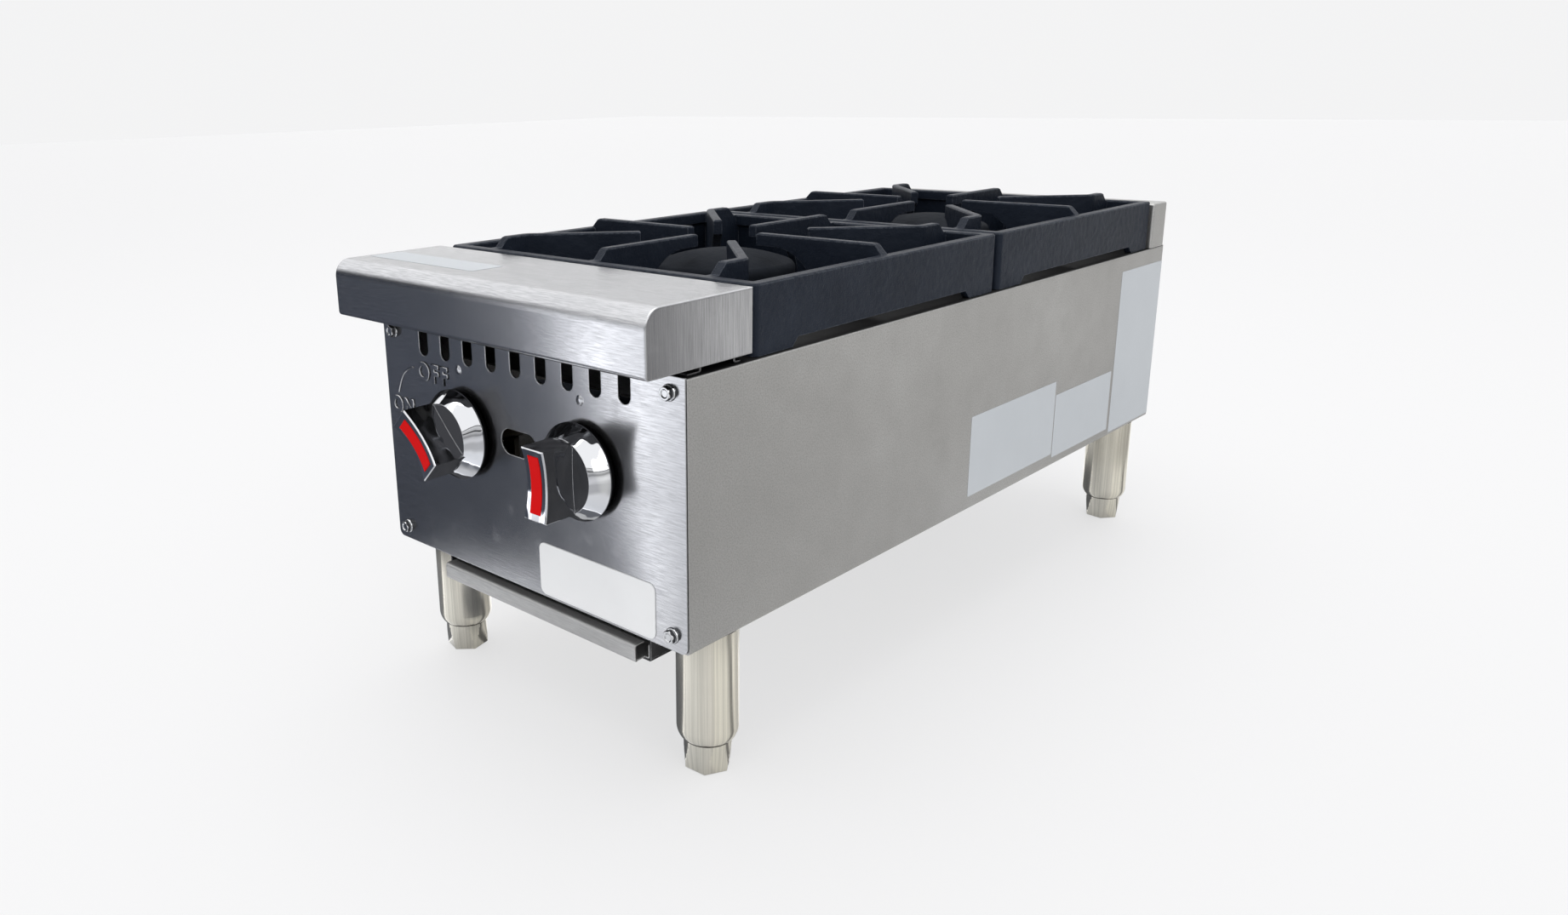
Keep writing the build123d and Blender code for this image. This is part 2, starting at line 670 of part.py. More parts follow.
def frame_notches(half_width, half_length):
    """The long shallow notches under the four walls, between the corner feet."""
    low = GRATE_BOTTOM - GRATE_EDGE
    rise = GRATE_NOTCH_RISE + GRATE_EDGE
    notches = None
    for half, other in ((half_length, half_width), (half_width, half_length)):
        wide = half - GRATE_FOOT_LENGTH
        narrow = wide - GRATE_NOTCH_SLOPE
        corners = [(-wide, low), (wide, low), (narrow, low + rise), (-narrow, low + rise)]
        outline = make_face(Polyline(*corners, close=True))
        reach = other + GRATE_EDGE
        if other == half_width:
            cut = across_x(outline, -reach, reach)
        else:
            cut = along_y(outline, -reach, reach)
        notches = cut if notches is None else notches + cut
    return notches


def grate(centre_y):
    half_width = GRATE_WIDTH / 2
    half_length = GRATE_LENGTH / 2
    fingers = upward(finger_plan(half_width, half_length), GRATE_BOTTOM, FINGER_TOP)
    fingers = fingers & finger_roof(half_width, half_length)
    fingers -= finger_hollow()
    crest = [edge for edge in fingers.edges() if edge.center().Z > FINGER_TOP - PLATE_GAP]
    fingers = chamfer(crest, GRATE_EDGE)
    whole = grate_frame(half_width, half_length) + fingers
    whole -= frame_notches(half_width, half_length)
    return Pos(0, centre_y, 0) * whole


# Burners
def burner_rail(centre_y):
    low = RAIL_TOP - RAIL_DEPTH
    high = RAIL_TOP - STRONG_SHEET / 2
    inner = RAIL_WIDTH / 2 - STRONG_SHEET / 2
    points = [
        (centre_y - inner, low),
        (centre_y - inner, high),
        (centre_y + inner, high),
        (centre_y + inner, low),
    ]
    rail = across_x(bent(points, STRONG_SHEET, STRONG_SHEET), -INNER_HALF, INNER_HALF)
    hole = MIXER_RADIUS + RAIL_HOLE_GAP
    return rail - rod_z(hole, 0, centre_y, low, RAIL_TOP + OVERCUT)


def mixer_path(x, centre_y):
    return FilletPolyline(
        (x, MIXER_MOUTH, KNOB_Z),
        (x, centre_y - MIXER_RUN_IN, KNOB_Z),
        (0, centre_y, KNOB_Z),
        (0, centre_y, RAIL_TOP + BOWL_FLANGE),
        radius=MIXER_BEND,
    )


def mixer_sweep(x, centre_y, radius):
    start = Plane(origin=(x, MIXER_MOUTH, KNOB_Z), x_dir=(1, 0, 0), z_dir=(0, 1, 0))
    return sweep(start * Circle(radius), path=mixer_path(x, centre_y))


def air_holes(x):
    start = MIXER_MOUTH - MIXER_FACE
    end = MIXER_MOUTH + MIXER_RIM
    centre = Pos(x, 0, KNOB_Z)
    holes = [rod_y(HOOD_HOLE_RADIUS, x, KNOB_Z, start, end)]
    for index in range(AIR_HOLE_COUNT):
        turn = Rot(0, 360 / AIR_HOLE_COUNT * index, 0)
        holes.append(centre * turn * rod_y(AIR_HOLE_RADIUS, 0, AIR_HOLE_CIRCLE, start, end))
    return holes


def bowl_outline():
    """The wall of the burner's bowl, from its seat on the rail up to the rim."""
    seat = RAIL_TOP
    step = seat + BOWL_FLANGE
    rim_start = BOWL_TOP - 2 * PORT_DEPTH
    inner = BOWL_RADIUS - BOWL_WALL
    return make_face([
        Line((MIXER_BORE, seat), (BOWL_FLANGE_RADIUS, seat)),
        Line((BOWL_FLANGE_RADIUS, seat), (BOWL_FLANGE_RADIUS, step)),
        Line((BOWL_FLANGE_RADIUS, step), (BOWL_FOOT_RADIUS, step)),
        ThreePointArc(
            (BOWL_FOOT_RADIUS, step),
            (BOWL_BELLY_RADIUS, seat + BOWL_BELLY_RISE),
            (BOWL_RADIUS, rim_start),
        ),
        Line((BOWL_RADIUS, rim_start), (BOWL_RADIUS, BOWL_TOP)),
        Line((BOWL_RADIUS, BOWL_TOP), (inner, BOWL_TOP)),
        Line((inner, BOWL_TOP), (inner, rim_start)),
        ThreePointArc(
            (inner, rim_start),
            (BOWL_INSIDE_RADIUS, seat + BOWL_INSIDE_RISE),
            (MIXER_BORE, step),
        ),
        Line((MIXER_BORE, step), (MIXER_BORE, seat)),
    ])


def burner(x, centre_y):
    """One casting: the bell mouth, the mixing tube, the bowl and its slotted rim."""
    mouth = MIXER_MOUTH
    bell = turned_y([
        (0, mouth),
        (MIXER_BELL_RADIUS, mouth),
        (MIXER_BELL_RADIUS, mouth + MIXER_RIM),
        (MIXER_RADIUS, mouth + MIXER_BELL_LENGTH),
        (0, mouth + MIXER_BELL_LENGTH),
    ], x, KNOB_Z)
    throat = turned_y([
        (0, mouth + MIXER_FACE),
        (MIXER_BELL_RADIUS - MIXER_FACE, mouth + MIXER_FACE),
        (MIXER_BELL_RADIUS - MIXER_FACE, mouth + MIXER_RIM),
        (MIXER_BORE, mouth + MIXER_BELL_LENGTH),
        (0, mouth + MIXER_BELL_LENGTH),
    ], x, KNOB_Z)
    outside = bell + mixer_sweep(x, centre_y, MIXER_RADIUS)
    inside = mixer_sweep(x, centre_y, MIXER_BORE)
    inside -= rod_y(MIXER_RADIUS, x, KNOB_Z, mouth, mouth + MIXER_FACE)
    bowl = Pos(0, centre_y, 0) * revolve(Plane.XZ * bowl_outline(), axis=Axis.Z)
    casting = outside + bowl - inside - throat
    for hole in air_holes(x):
        casting -= hole
    ports = None
    for index in range(PORT_COUNT // 2):
        slot = Box(2 * (BOWL_RADIUS + OVERCUT), PORT_WIDTH, 2 * PORT_DEPTH)
        slot = Pos(0, centre_y, BOWL_TOP) * Rot(0, 0, 360 / PORT_COUNT * index) * slot
        ports = slot if ports is None else ports + slot
    return casting - ports


def burner_cap(centre_y):
    """A domed lift-out cap with a locating skirt inside the bowl's rim."""
    seat = BOWL_TOP + SEAT_GAP
    edge = seat + BURNER_CAP_EDGE
    crown = seat + BURNER_CAP_HEIGHT
    ceiling = crown - BURNER_CAP_WALL
    inner_radius = BURNER_CAP_SKIRT - BURNER_CAP_WALL
    skirt_end = seat - BURNER_CAP_SKIRT_DEPTH
    ball = (BURNER_RADIUS ** 2 + (crown - edge) ** 2) / (2 * (crown - edge))
    halfway_x = (BURNER_RADIUS + BURNER_CAP_FLAT) / 2
    halfway_z = crown - ball + sqrt(ball ** 2 - halfway_x ** 2)
    outline = make_face([
        Line((BURNER_CAP_SKIRT, seat), (BURNER_RADIUS, seat)),
        Line((BURNER_RADIUS, seat), (BURNER_RADIUS, edge)),
        ThreePointArc((BURNER_RADIUS, edge), (halfway_x, halfway_z), (BURNER_CAP_FLAT, crown)),
        Line((BURNER_CAP_FLAT, crown), (0, crown)),
        Line((0, crown), (0, ceiling)),
        Line((0, ceiling), (inner_radius / 2, ceiling)),
        Line((inner_radius / 2, ceiling), (inner_radius, seat)),
        Line((inner_radius, seat), (inner_radius, skirt_end)),
        Line((inner_radius, skirt_end), (BURNER_CAP_SKIRT, skirt_end)),
        Line((BURNER_CAP_SKIRT, skirt_end), (BURNER_CAP_SKIRT, seat)),
    ])
    rim = outline.vertices().filter_by_position(Axis.Y, edge - PLATE_GAP, edge + PLATE_GAP)
    outline = fillet(rim, BURNER_CAP_ROUNDING)
    return Pos(0, centre_y, 0) * revolve(Plane.XZ * outline, axis=Axis.Z)


def air_shutter(x):
    """A thin disc with the same air holes, which turns on the mixer's mouth."""
    back = MIXER_MOUTH - SEAT_GAP
    disc = rod_y(SHUTTER_RADIUS, x, KNOB_Z, back - SHEET, back)
    tab_x = (x - SHUTTER_TAB_WIDTH / 2, x + SHUTTER_TAB_WIDTH / 2)
    tab_top = KNOB_Z + SHUTTER_RADIUS
    disc += block(tab_x, (back - SHUTTER_TAB, back), (tab_top - SHEET, tab_top))
    for hole in air_holes(x):
        disc -= hole
    return disc


# Gas train
def gas_valve(x):
    front = VALVE_Y - VALVE_LENGTH / 2
    back = VALVE_Y + VALVE_LENGTH / 2
    neck = VALVE_NECK_RADIUS
    hood_start = MIXER_MOUTH - HOOD_LENGTH + MIXER_FACE
    body = turned_y([
        (0, front - VALVE_BOSS_LENGTH),
        (VALVE_BOSS_RADIUS, front - VALVE_BOSS_LENGTH),
        (VALVE_BOSS_RADIUS, front),
        (VALVE_RADIUS, front + VALVE_BEVEL),
        (VALVE_RADIUS, back - VALVE_BEVEL),
        (neck + VALVE_BEVEL, back),
        (neck, back + VALVE_BEVEL),
        (neck, hood_start),
        (0, hood_start),
    ], x, KNOB_Z)
    body += rod_z(SPIGOT_RADIUS, x, VALVE_Y, MANIFOLD_Z + MANIFOLD_BORE, KNOB_Z)
    nut_low = MANIFOLD_Z + MANIFOLD_RADIUS + SEAT_GAP
    nut_high = KNOB_Z - VALVE_RADIUS + VALVE_BEVEL
    body += Pos(x, VALVE_Y, 0) * upward(hexagon(SPIGOT_FLATS), nut_low, nut_high)
    mouth = front - VALVE_BOSS_LENGTH - OVERCUT
    return body - rod_y(STEM_RADIUS + RUNNING_FIT, x, KNOB_Z, mouth, VALVE_Y + STEM_END_GAP)


def orifice_hood(x):
    start = MIXER_MOUTH - HOOD_LENGTH + MIXER_FACE
    end = start + HOOD_LENGTH
    hexed = Pos(x, 0, 0) * along_y(Pos(0, KNOB_Z) * hexagon(HOOD_HEX), start, start + HOOD_LENGTH / 2)
    nose = turned_y([
        (0, start),
        (HOOD_NOSE_RADIUS + HOOD_SHOULDER, start),
        (HOOD_NOSE_RADIUS + HOOD_SHOULDER, start + HOOD_LENGTH / 2),
        (HOOD_NOSE_RADIUS, end - HOOD_TIP),
        (HOOD_NOSE_RADIUS - HOOD_TIP, end),
        (0, end),
    ], x, KNOB_Z)
    return hexed + nose - rod_y(HOOD_BORE, x, KNOB_Z, start - OVERCUT, end + OVERCUT)


def valve_stem(x):
    start = KNOB_FACE_Y + 2 * FACE_RECESS + BEZEL_WALL
    end = VALVE_Y
    stem = rod_y(STEM_RADIUS, x, KNOB_Z, start, end)
    flat_z = (KNOB_Z + STEM_FLAT, KNOB_Z + STEM_RADIUS + OVERCUT)
    return stem - block((x - STEM_RADIUS, x + STEM_RADIUS), (start - OVERCUT, -SKIRT_GAP), flat_z)


def manifold_pipe():
    right = SUPPLY_X - ELBOW_REACH + ELBOW_SOCKET - SEAT_GAP
    pipe = rod_x(MANIFOLD_RADIUS, VALVE_Y, MANIFOLD_Z, -MANIFOLD_LEFT, right)
    pipe -= rod_x(MANIFOLD_BORE, VALVE_Y, MANIFOLD_Z, -MANIFOLD_LEFT - OVERCUT, right + OVERCUT)
    above = MANIFOLD_Z + MANIFOLD_RADIUS + OVERCUT
    for x in BURNER_X:
        pipe -= rod_z(SPIGOT_RADIUS + PLATE_GAP, x, VALVE_Y, MANIFOLD_Z, above)
    for x in (-PILOT_SPREAD / 2, PILOT_SPREAD / 2):
        pipe -= rod_z(PILOT_POST_RADIUS + PLATE_GAP, x, VALVE_Y, MANIFOLD_Z, above)
    return pipe


def manifold_plug():
    end = -MANIFOLD_LEFT + PLUG_LENGTH / 2
    plug = rod_x(PLUG_RADIUS, VALVE_Y, MANIFOLD_Z, end - PLUG_LENGTH, end)
    plug = chamfer(plug.edges().group_by(Axis.X)[0], PLUG_BEVEL)
    socket = MANIFOLD_RADIUS + PLATE_GAP
    return plug - rod_x(socket, VALVE_Y, MANIFOLD_Z, end - PLUG_LENGTH / 2, end + OVERCUT)


def manifold_elbow():
    start = (SUPPLY_X - ELBOW_REACH, VALVE_Y, MANIFOLD_Z)
    corner = (SUPPLY_X, VALVE_Y, MANIFOLD_Z)
    end = (SUPPLY_X, VALVE_Y + ELBOW_REACH, MANIFOLD_Z)
    path = FilletPolyline(start, corner, end, radius=ELBOW_BEND)
    face = Plane(origin=start, x_dir=(0, 1, 0), z_dir=(1, 0, 0))
    elbow = sweep(face * Circle(ELBOW_NECK_RADIUS), path=path)
    elbow += rod_x(ELBOW_SMALL_RADIUS, VALVE_Y, MANIFOLD_Z, start[0], start[0] + ELBOW_SOCKET)
    elbow += rod_y(ELBOW_RADIUS, SUPPLY_X, MANIFOLD_Z, end[1] - ELBOW_SOCKET, end[1])
    elbow -= sweep(face * Circle(MANIFOLD_BORE), path=path)
    small = MANIFOLD_RADIUS + PLATE_GAP
    large = SUPPLY_RADIUS + PLATE_GAP
    elbow -= rod_x(small, VALVE_Y, MANIFOLD_Z, start[0] - OVERCUT, start[0] + ELBOW_SOCKET)
    return elbow - rod_y(large, SUPPLY_X, MANIFOLD_Z, end[1] - ELBOW_SOCKET, end[1] + OVERCUT)


def supply_pipe():
    """The pipe to the back of the body, with a slightly thicker end for the gas hose."""
    start = VALVE_Y + ELBOW_REACH - ELBOW_SOCKET + SEAT_GAP
    pipe = rod_y(SUPPLY_RADIUS, SUPPLY_X, MANIFOLD_Z, start, SUPPLY_END)
    pipe += rod_y(INLET_RADIUS, SUPPLY_X, MANIFOLD_Z, SUPPLY_END - INLET_LENGTH, SUPPLY_END)
    pipe = chamfer(pipe.edges().group_by(Axis.Y)[-1], SUPPLY_BEVEL)
    return pipe - rod_y(SUPPLY_BORE, SUPPLY_X, MANIFOLD_Z, start - OVERCUT, SUPPLY_END + OVERCUT)


def manifold_bracket(x, side):
    """An angle bracket from the front channel up to a saddle under the pipe."""
    seat = MANIFOLD_RADIUS + SEAT_GAP
    half = BRACKET_WIDTH / 2
    height = MANIFOLD_Z - CHANNEL_TOP
    upright = Pos(VALVE_Y, CHANNEL_TOP + height / 2) * Rectangle(BRACKET_WIDTH, height)
    upright -= Pos(VALVE_Y, MANIFOLD_Z) * Circle(seat)
    plate = across_x(upright, x, x + STRONG_SHEET)
    foot_x = sorted((x + STRONG_SHEET / 2, x + side * BRACKET_FOOT))
    foot_y = (VALVE_Y - half, VALVE_Y + half)
    return plate + block(foot_x, foot_y, (CHANNEL_TOP, CHANNEL_TOP + STRONG_SHEET))


def pilot_valve(x):
    """A small tap on the manifold whose adjusting screw faces the lighting slot."""
    centre_z = KNOB_Z + LIGHTING_SLOT_RISE
    low = centre_z - PILOT_BODY_HEIGHT / 2
    post = rod_z(PILOT_POST_RADIUS, x, VALVE_Y, MANIFOLD_Z + MANIFOLD_BORE, centre_z)
    plan = fillet(Rectangle(PILOT_BODY_WIDTH, PILOT_BODY_DEPTH).vertices(), PILOT_BODY_ROUNDING)
    body = upward(Pos(x, VALVE_Y) * plan, low, low + PILOT_BODY_HEIGHT)
    head = VALVE_Y - PILOT_BODY_DEPTH / 2 - PILOT_SCREW_HEAD
    screw = rod_y(PILOT_SCREW_RADIUS, x, centre_z, head, VALVE_Y)
    slot_y = (head - OVERCUT, head + PILOT_SLOT_DEPTH)
    slot_z = (centre_z - PILOT_SCREW_RADIUS - OVERCUT, centre_z + PILOT_SCREW_RADIUS + OVERCUT)
    driver = block((x - PILOT_SLOT / 2, x + PILOT_SLOT / 2), slot_y, slot_z)
    bore_y = (VALVE_Y + PILOT_TUBE_START - PILOT_TUBE_END_GAP, VALVE_Y + PILOT_BODY_DEPTH / 2 + OVERCUT)
    bore = rod_y(PILOT_TUBE_RADIUS + PLATE_GAP, x, centre_z, *bore_y)
    return post + body + screw - driver - bore


def pilot_tube(points):
    path = FilletPolyline(*points, radius=PILOT_TUBE_BEND)
    start = Plane(origin=points[0], x_dir=(1, 0, 0), z_dir=(0, 1, 0))
    return sweep(start * Circle(PILOT_TUBE_RADIUS), path=path)


def pilot_line(index):
    """The pilot tube of one burner, from its tap to the burner's front edge."""
    tap_x = (1 - 2 * index) * PILOT_SPREAD / 2
    tap_z = KNOB_Z + LIGHTING_SLOT_RISE
    tip_x = (1 - 2 * index) * (KNOB_X - PILOT_FROM_MIXER)
    tip_y = BURNER_Y[index] - PILOT_REACH
    leave = VALVE_Y + PILOT_BODY_DEPTH / 2 + PILOT_RUN_OUT
    top = BOWL_TOP - PILOT_BELOW_RIM
    points = [(tap_x, VALVE_Y + PILOT_TUBE_START, tap_z), (tap_x, leave, tap_z)]
    if index == 1:
        low = tap_z - PILOT_REAR_DROP
        points.append((tap_x, leave + PILOT_REAR_STEP, low))
        points.append((tip_x, leave + PILOT_REAR_CROSSING, low))
        points.append((tip_x, tip_y, low))
    else:
        points.append((tip_x, leave + PILOT_FRONT_CROSSING, tap_z))
        points.append((tip_x, tip_y, tap_z))
    points.append((tip_x, tip_y, top))
    tube = pilot_tube(points)
    tip = turned_z([
        (0, top + PLATE_GAP),
        (PILOT_TIP_RADIUS, top + PLATE_GAP),
        (PILOT_TIP_RADIUS, top + PILOT_TIP_LENGTH / 2),
        (PILOT_TUBE_RADIUS, top + PILOT_TIP_LENGTH),
        (0, top + PILOT_TIP_LENGTH),
    ], tip_x, tip_y)
    return tube, tip


# Knobs: a black skirt, a bright bezel with its grip, and a coloured insert
def grip_outline():
    half_width = GRIP_WIDTH / 2
    half_length = GRIP_LENGTH / 2
    waist = half_width - GRIP_WAIST
    return make_face([
        Line((-half_width, -half_length), (half_width, -half_length)),
        ThreePointArc((half_width, -half_length), (waist, 0), (half_width, half_length)),
        Line((half_width, half_length), (-half_width, half_length)),
        ThreePointArc((-half_width, half_length), (-waist, 0), (-half_width, -half_length)),
    ])


def dish(depth):
    """The round hollow along the front of the grip, deeper by the given amount."""
    half = GRIP_LENGTH / 2
    radius = (half ** 2 + GRIP_DISH ** 2) / (2 * GRIP_DISH)
    axis_y = KNOB_FRONT_Y - radius + GRIP_DISH
    return rod_x(radius + depth, axis_y, 0, -GRIP_LENGTH, GRIP_LENGTH)


def insert_block(gap):
    outline = Rectangle(INSERT_WIDTH - 2 * gap, INSERT_LENGTH - 2 * gap)
    return along_y(outline, KNOB_FRONT_Y - SHEET, KNOB_FACE_Y)


def knob_bezel():
    back = KNOB_FACE_Y + BEZEL_DEPTH
    face = KNOB_FACE_Y + FACE_RECESS
    cavity = face + BEZEL_WALL
    slope = (BEZEL_RADIUS - BEZEL_FACE_RADIUS) / BEZEL_DEPTH
    cavity_front = BEZEL_RADIUS - BEZEL_WALL - slope * (back - cavity)
    ring = turned_y([
        (0, cavity),
        (cavity_front, cavity),
        (BEZEL_RADIUS - BEZEL_WALL, back),
        (BEZEL_RADIUS, back),
        (BEZEL_RADIUS, back - BEZEL_LIP),
        (BEZEL_FACE_RADIUS, KNOB_FACE_Y),
        (BEZEL_FACE_RADIUS - BEZEL_LIP, KNOB_FACE_Y),
        (BEZEL_FACE_RADIUS - BEZEL_LIP, face),
        (0, face),
    ], 0, 0)
    hub = rod_y(HUB_RADIUS, 0, 0, cavity - FACE_RECESS, -SKIRT_GAP - SEAT_GAP)
    grip = along_y(grip_outline(), KNOB_FRONT_Y, cavity - FACE_RECESS)
    grip -= dish(0)
    front_edges = [edge for edge in grip.edges() if edge.center().Y < KNOB_FRONT_Y + GRIP_DISH + PLATE_GAP]
    grip = chamfer(front_edges, GRIP_EDGE)
    grip -= insert_block(0) & dish(INSERT_RECESS)
    bore = rod_y(STEM_RADIUS + PLATE_GAP, 0, 0, cavity, 0)
    key_z = (STEM_FLAT + PLATE_GAP, STEM_RADIUS + OVERCUT)
    key = block((-STEM_RADIUS, STEM_RADIUS), (cavity - OVERCUT, OVERCUT), key_z)
    return ring + hub + grip - (bore - key)


def knob_insert():
    return (insert_block(INSERT_GAP) & dish(INSERT_RECESS - INSERT_GAP)) - dish(-INSERT_PROUD)


def knob_skirt():
    back = -SKIRT_GAP
    front = back - SKIRT_DEPTH + PLATE_GAP
    inner = HUB_RADIUS + PLATE_GAP
    return turned_y([
        (inner, front),
        (SKIRT_RADIUS - SKIRT_EDGE, front),
        (SKIRT_RADIUS, front + SKIRT_EDGE),
        (SKIRT_RADIUS, back),
        (inner, back),
    ], 0, 0)


# Drip tray, its guides and its runners, folded sheets that are cut where they fold
def guide_middle(side):
    return side * (GUIDE_INNER + SHEET / 2)


def tray_guide(side):
    """A web beside the tray, with a tab that lies on the side panel's flange."""
    web = guide_middle(side)
    high = FLANGE_TOP + SHEET / 2
    shoulder = high - GUIDE_SHOULDER
    margin = CHANNEL_WIDTH / 2 + GUIDE_TAB_MARGIN
    wall_z = (GUIDE_FLOOR + SHEET / 2 + BEND, shoulder)
    wall = block((web - SHEET / 2, web + SHEET / 2), (TRAY_PAN_FRONT, GUIDE_BACK), wall_z)
    tab = bent([(web, shoulder), (web, high), (web + side * GUIDE_TAB, high)], BEND / 2)
    return wall + along_y(tab, LEG_Y[0] + margin, LEG_Y[1] - margin)


def tray_runners():
    """The lower edges of both guides, folded in under the tray to carry it."""
    runners = []
    low = GUIDE_FLOOR + SHEET / 2
    for side in (-1, 1):
        web = guide_middle(side)
        section = bent([(web - side * GUIDE_FLANGE, low), (web, low), (web, low + BEND)], BEND / 2)
        runners.append(along_y(section, TRAY_PAN_FRONT, GUIDE_BACK))
    return Compound(children=runners)


def tray_pan():
    """The floor and the three walls of the tray, which is open towards its front."""
    rise = TRAY_FLOOR + TRAY_SHEET
    top = TRAY_FLOOR + TRAY_WALL_HEIGHT
    inner = TRAY_HALF - TRAY_SHEET
    middle = (TRAY_PAN_FRONT + TRAY_BACK) / 2
    plan = Pos(0, middle) * Rectangle(2 * TRAY_HALF, TRAY_BACK - TRAY_PAN_FRONT)
    plan = fillet(plan.vertices(), TRAY_CORNER)
    full = upward(plan, rise, top)
    side_y = (TRAY_PAN_FRONT, TRAY_BACK)
    back_y = (TRAY_BACK - TRAY_SHEET, TRAY_BACK)
    return [
        upward(plan, TRAY_FLOOR, rise),
        full & block((-TRAY_HALF, -inner), side_y, (rise, top)),
        full & block((inner, TRAY_HALF), side_y, (rise, top)),
        full & block((-inner, inner), back_y, (rise, top)),
    ]


def tray_lip():
    """The rolled front of the tray, which hangs a little below its floor."""
    sheet = TRAY_SHEET
    floor = TRAY_FLOOR + sheet / 2
    low = TRAY_FLOOR - LIP_DROP + sheet / 2
    high = TRAY_FLOOR - LIP_DROP + LIP_HEIGHT - sheet / 2
    face = TRAY_FRONT + sheet / 2
    points = [
        (TRAY_PAN_FRONT, floor),
        (face + LIP_BEND, floor),
        (face, low),
        (face, high),
        (face + LIP_RETURN, high),
    ]
    half = TRAY_HALF - LIP_INSET
    return across_x(bent(points, [BEND / 2, sheet, LIP_BEND], sheet), -half, half)


def drip_tray():
    return Compound(children=tray_pan() + [tray_lip()])


# Screws
def hex_screw(x, z, front, direction):
    """A hex washer-head screw whose head's underside lies on the given face."""
    def span(radius, start, end):
        return rod_y(radius, 0, 0, min(start, end), max(start, end))
    shank = span(SCREW_SHANK, 0, direction * SCREW_LENGTH)
    washer = span(SCREW_WASHER, 0, -direction * SCREW_WASHER_HEIGHT)
    head_end = -direction * (SCREW_WASHER_HEIGHT + SCREW_HEX_HEIGHT)
    head = along_y(hexagon(SCREW_HEX), min(0, head_end), max(0, head_end))
    return Pos(x, front, z) * (shank + washer + head)


def panel_screws(front, direction):
    screws = []
    for x in (-SCREW_X, SCREW_X):
        for z in SCREW_Z:
            screws.append(hex_screw(x, z, front, direction))
    return Compound(children=screws)


# Body
right_side = side_panel()
keep("right_side_panel", right_side)
keep("left_side_panel", mirror(right_side, about=Plane.YZ))
keep("front_panel", front_panel())
keep("rear_panel", rear_panel())
keep("bullnose_cap", bullnose_cap())
keep("ledge_support", ledge_support())
keep("rear_riser", rear_riser())
keep("front_baffle", front_baffle())
keep("front_panel_screws", panel_screws(0, 1))
keep("rear_panel_screws", panel_screws(BODY_LENGTH, -1))

# Legs, feet and their channels
keep("front_leg_channel", leg_channel(LEG_Y[0]))
keep("rear_leg_channel", leg_channel(LEG_Y[1]))
keep("leg_nuts", leg_nuts())
foot_turns = iter(FOOT_TURNS)
for end_name, leg_y in zip(("front", "rear"), LEG_Y):
    for side_name, leg_x in (("left", -LEG_X), ("right", LEG_X)):
        keep(f"leg_{end_name}_{side_name}", leg(leg_x, leg_y))
        keep(f"foot_{end_name}_{side_name}", foot(leg_x, leg_y, next(foot_turns)))

# Drip tray
keep("drip_tray", drip_tray())
keep("tray_guide_left", tray_guide(-1))
keep("tray_guide_right", tray_guide(1))
keep("tray_runners", tray_runners())

# Burners and grates, front and rear
for number, burner_name in enumerate(BURNER_NAMES):
    centre = BURNER_Y[number]
    valve_x = BURNER_X[number]
    tube, tip = pilot_line(number)
    keep(f"{burner_name}_grate", grate(centre))
    keep(f"{burner_name}_burner_rail", burner_rail(centre))
    keep(f"{burner_name}_burner", burner(valve_x, centre))
    keep(f"{burner_name}_burner_cap", burner_cap(centre))
    keep(f"{burner_name}_air_shutter", air_shutter(valve_x))
    keep(f"{burner_name}_pilot_tube", tube)
    keep(f"{burner_name}_pilot_tip", tip)
    keep(f"{burner_name}_pilot_valve", pilot_valve((1 - 2 * number) * PILOT_SPREAD / 2))

# Gas train
keep("manifold_pipe", manifold_pipe())
keep("manifold_plug", manifold_plug())
keep("manifold_elbow", manifold_elbow())
keep("supply_pipe", supply_pipe())
keep("manifold_bracket_left", manifold_bracket(BRACKET_LEFT_X, 1))
keep("manifold_bracket_right", manifold_bracket(BRACKET_RIGHT_X, -1))

# Valves and knobs, left and right; the left knob is turned part of the way on
for side_name, knob_x, turn in (("left", -KNOB_X, LEFT_KNOB_TURN), ("right", KNOB_X, 0)):
    place = Pos(knob_x, 0, KNOB_Z) * Rot(0, -turn, 0)
    keep(f"gas_valve_{side_name}", gas_valve(knob_x))
    keep(f"orifice_hood_{side_name}", orifice_hood(knob_x))
    keep(f"valve_stem_{side_name}", place * Pos(-knob_x, 0, -KNOB_Z) * valve_stem(knob_x))
    keep(f"knob_{side_name}", place * knob_bezel())
    keep(f"knob_skirt_{side_name}", place * knob_skirt())
    keep(f"knob_insert_{side_name}", place * knob_insert())

os.makedirs("parts", exist_ok=True)
for name, shape in pieces.items():
    export_step(shape, f"parts/{name}.step")
print(len(pieces), "nodes")
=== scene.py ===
import json
import math

import bmesh
import bpy
from mathutils import Matrix, Vector


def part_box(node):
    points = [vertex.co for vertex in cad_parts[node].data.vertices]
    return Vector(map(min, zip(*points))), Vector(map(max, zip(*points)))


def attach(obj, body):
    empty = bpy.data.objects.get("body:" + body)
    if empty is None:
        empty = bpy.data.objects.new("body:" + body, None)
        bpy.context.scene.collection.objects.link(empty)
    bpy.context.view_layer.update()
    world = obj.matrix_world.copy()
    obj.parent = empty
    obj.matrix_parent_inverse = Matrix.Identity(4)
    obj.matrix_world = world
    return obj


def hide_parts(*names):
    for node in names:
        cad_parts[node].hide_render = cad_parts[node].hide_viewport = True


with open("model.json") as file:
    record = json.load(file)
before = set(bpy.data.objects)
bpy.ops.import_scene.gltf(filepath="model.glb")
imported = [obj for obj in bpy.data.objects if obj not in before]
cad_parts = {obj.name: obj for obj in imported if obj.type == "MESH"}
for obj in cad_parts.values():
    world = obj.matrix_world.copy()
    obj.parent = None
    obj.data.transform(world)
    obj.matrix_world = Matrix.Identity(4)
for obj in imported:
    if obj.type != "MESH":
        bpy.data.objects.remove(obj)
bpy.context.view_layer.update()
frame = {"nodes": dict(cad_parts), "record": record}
nodes = frame["nodes"]

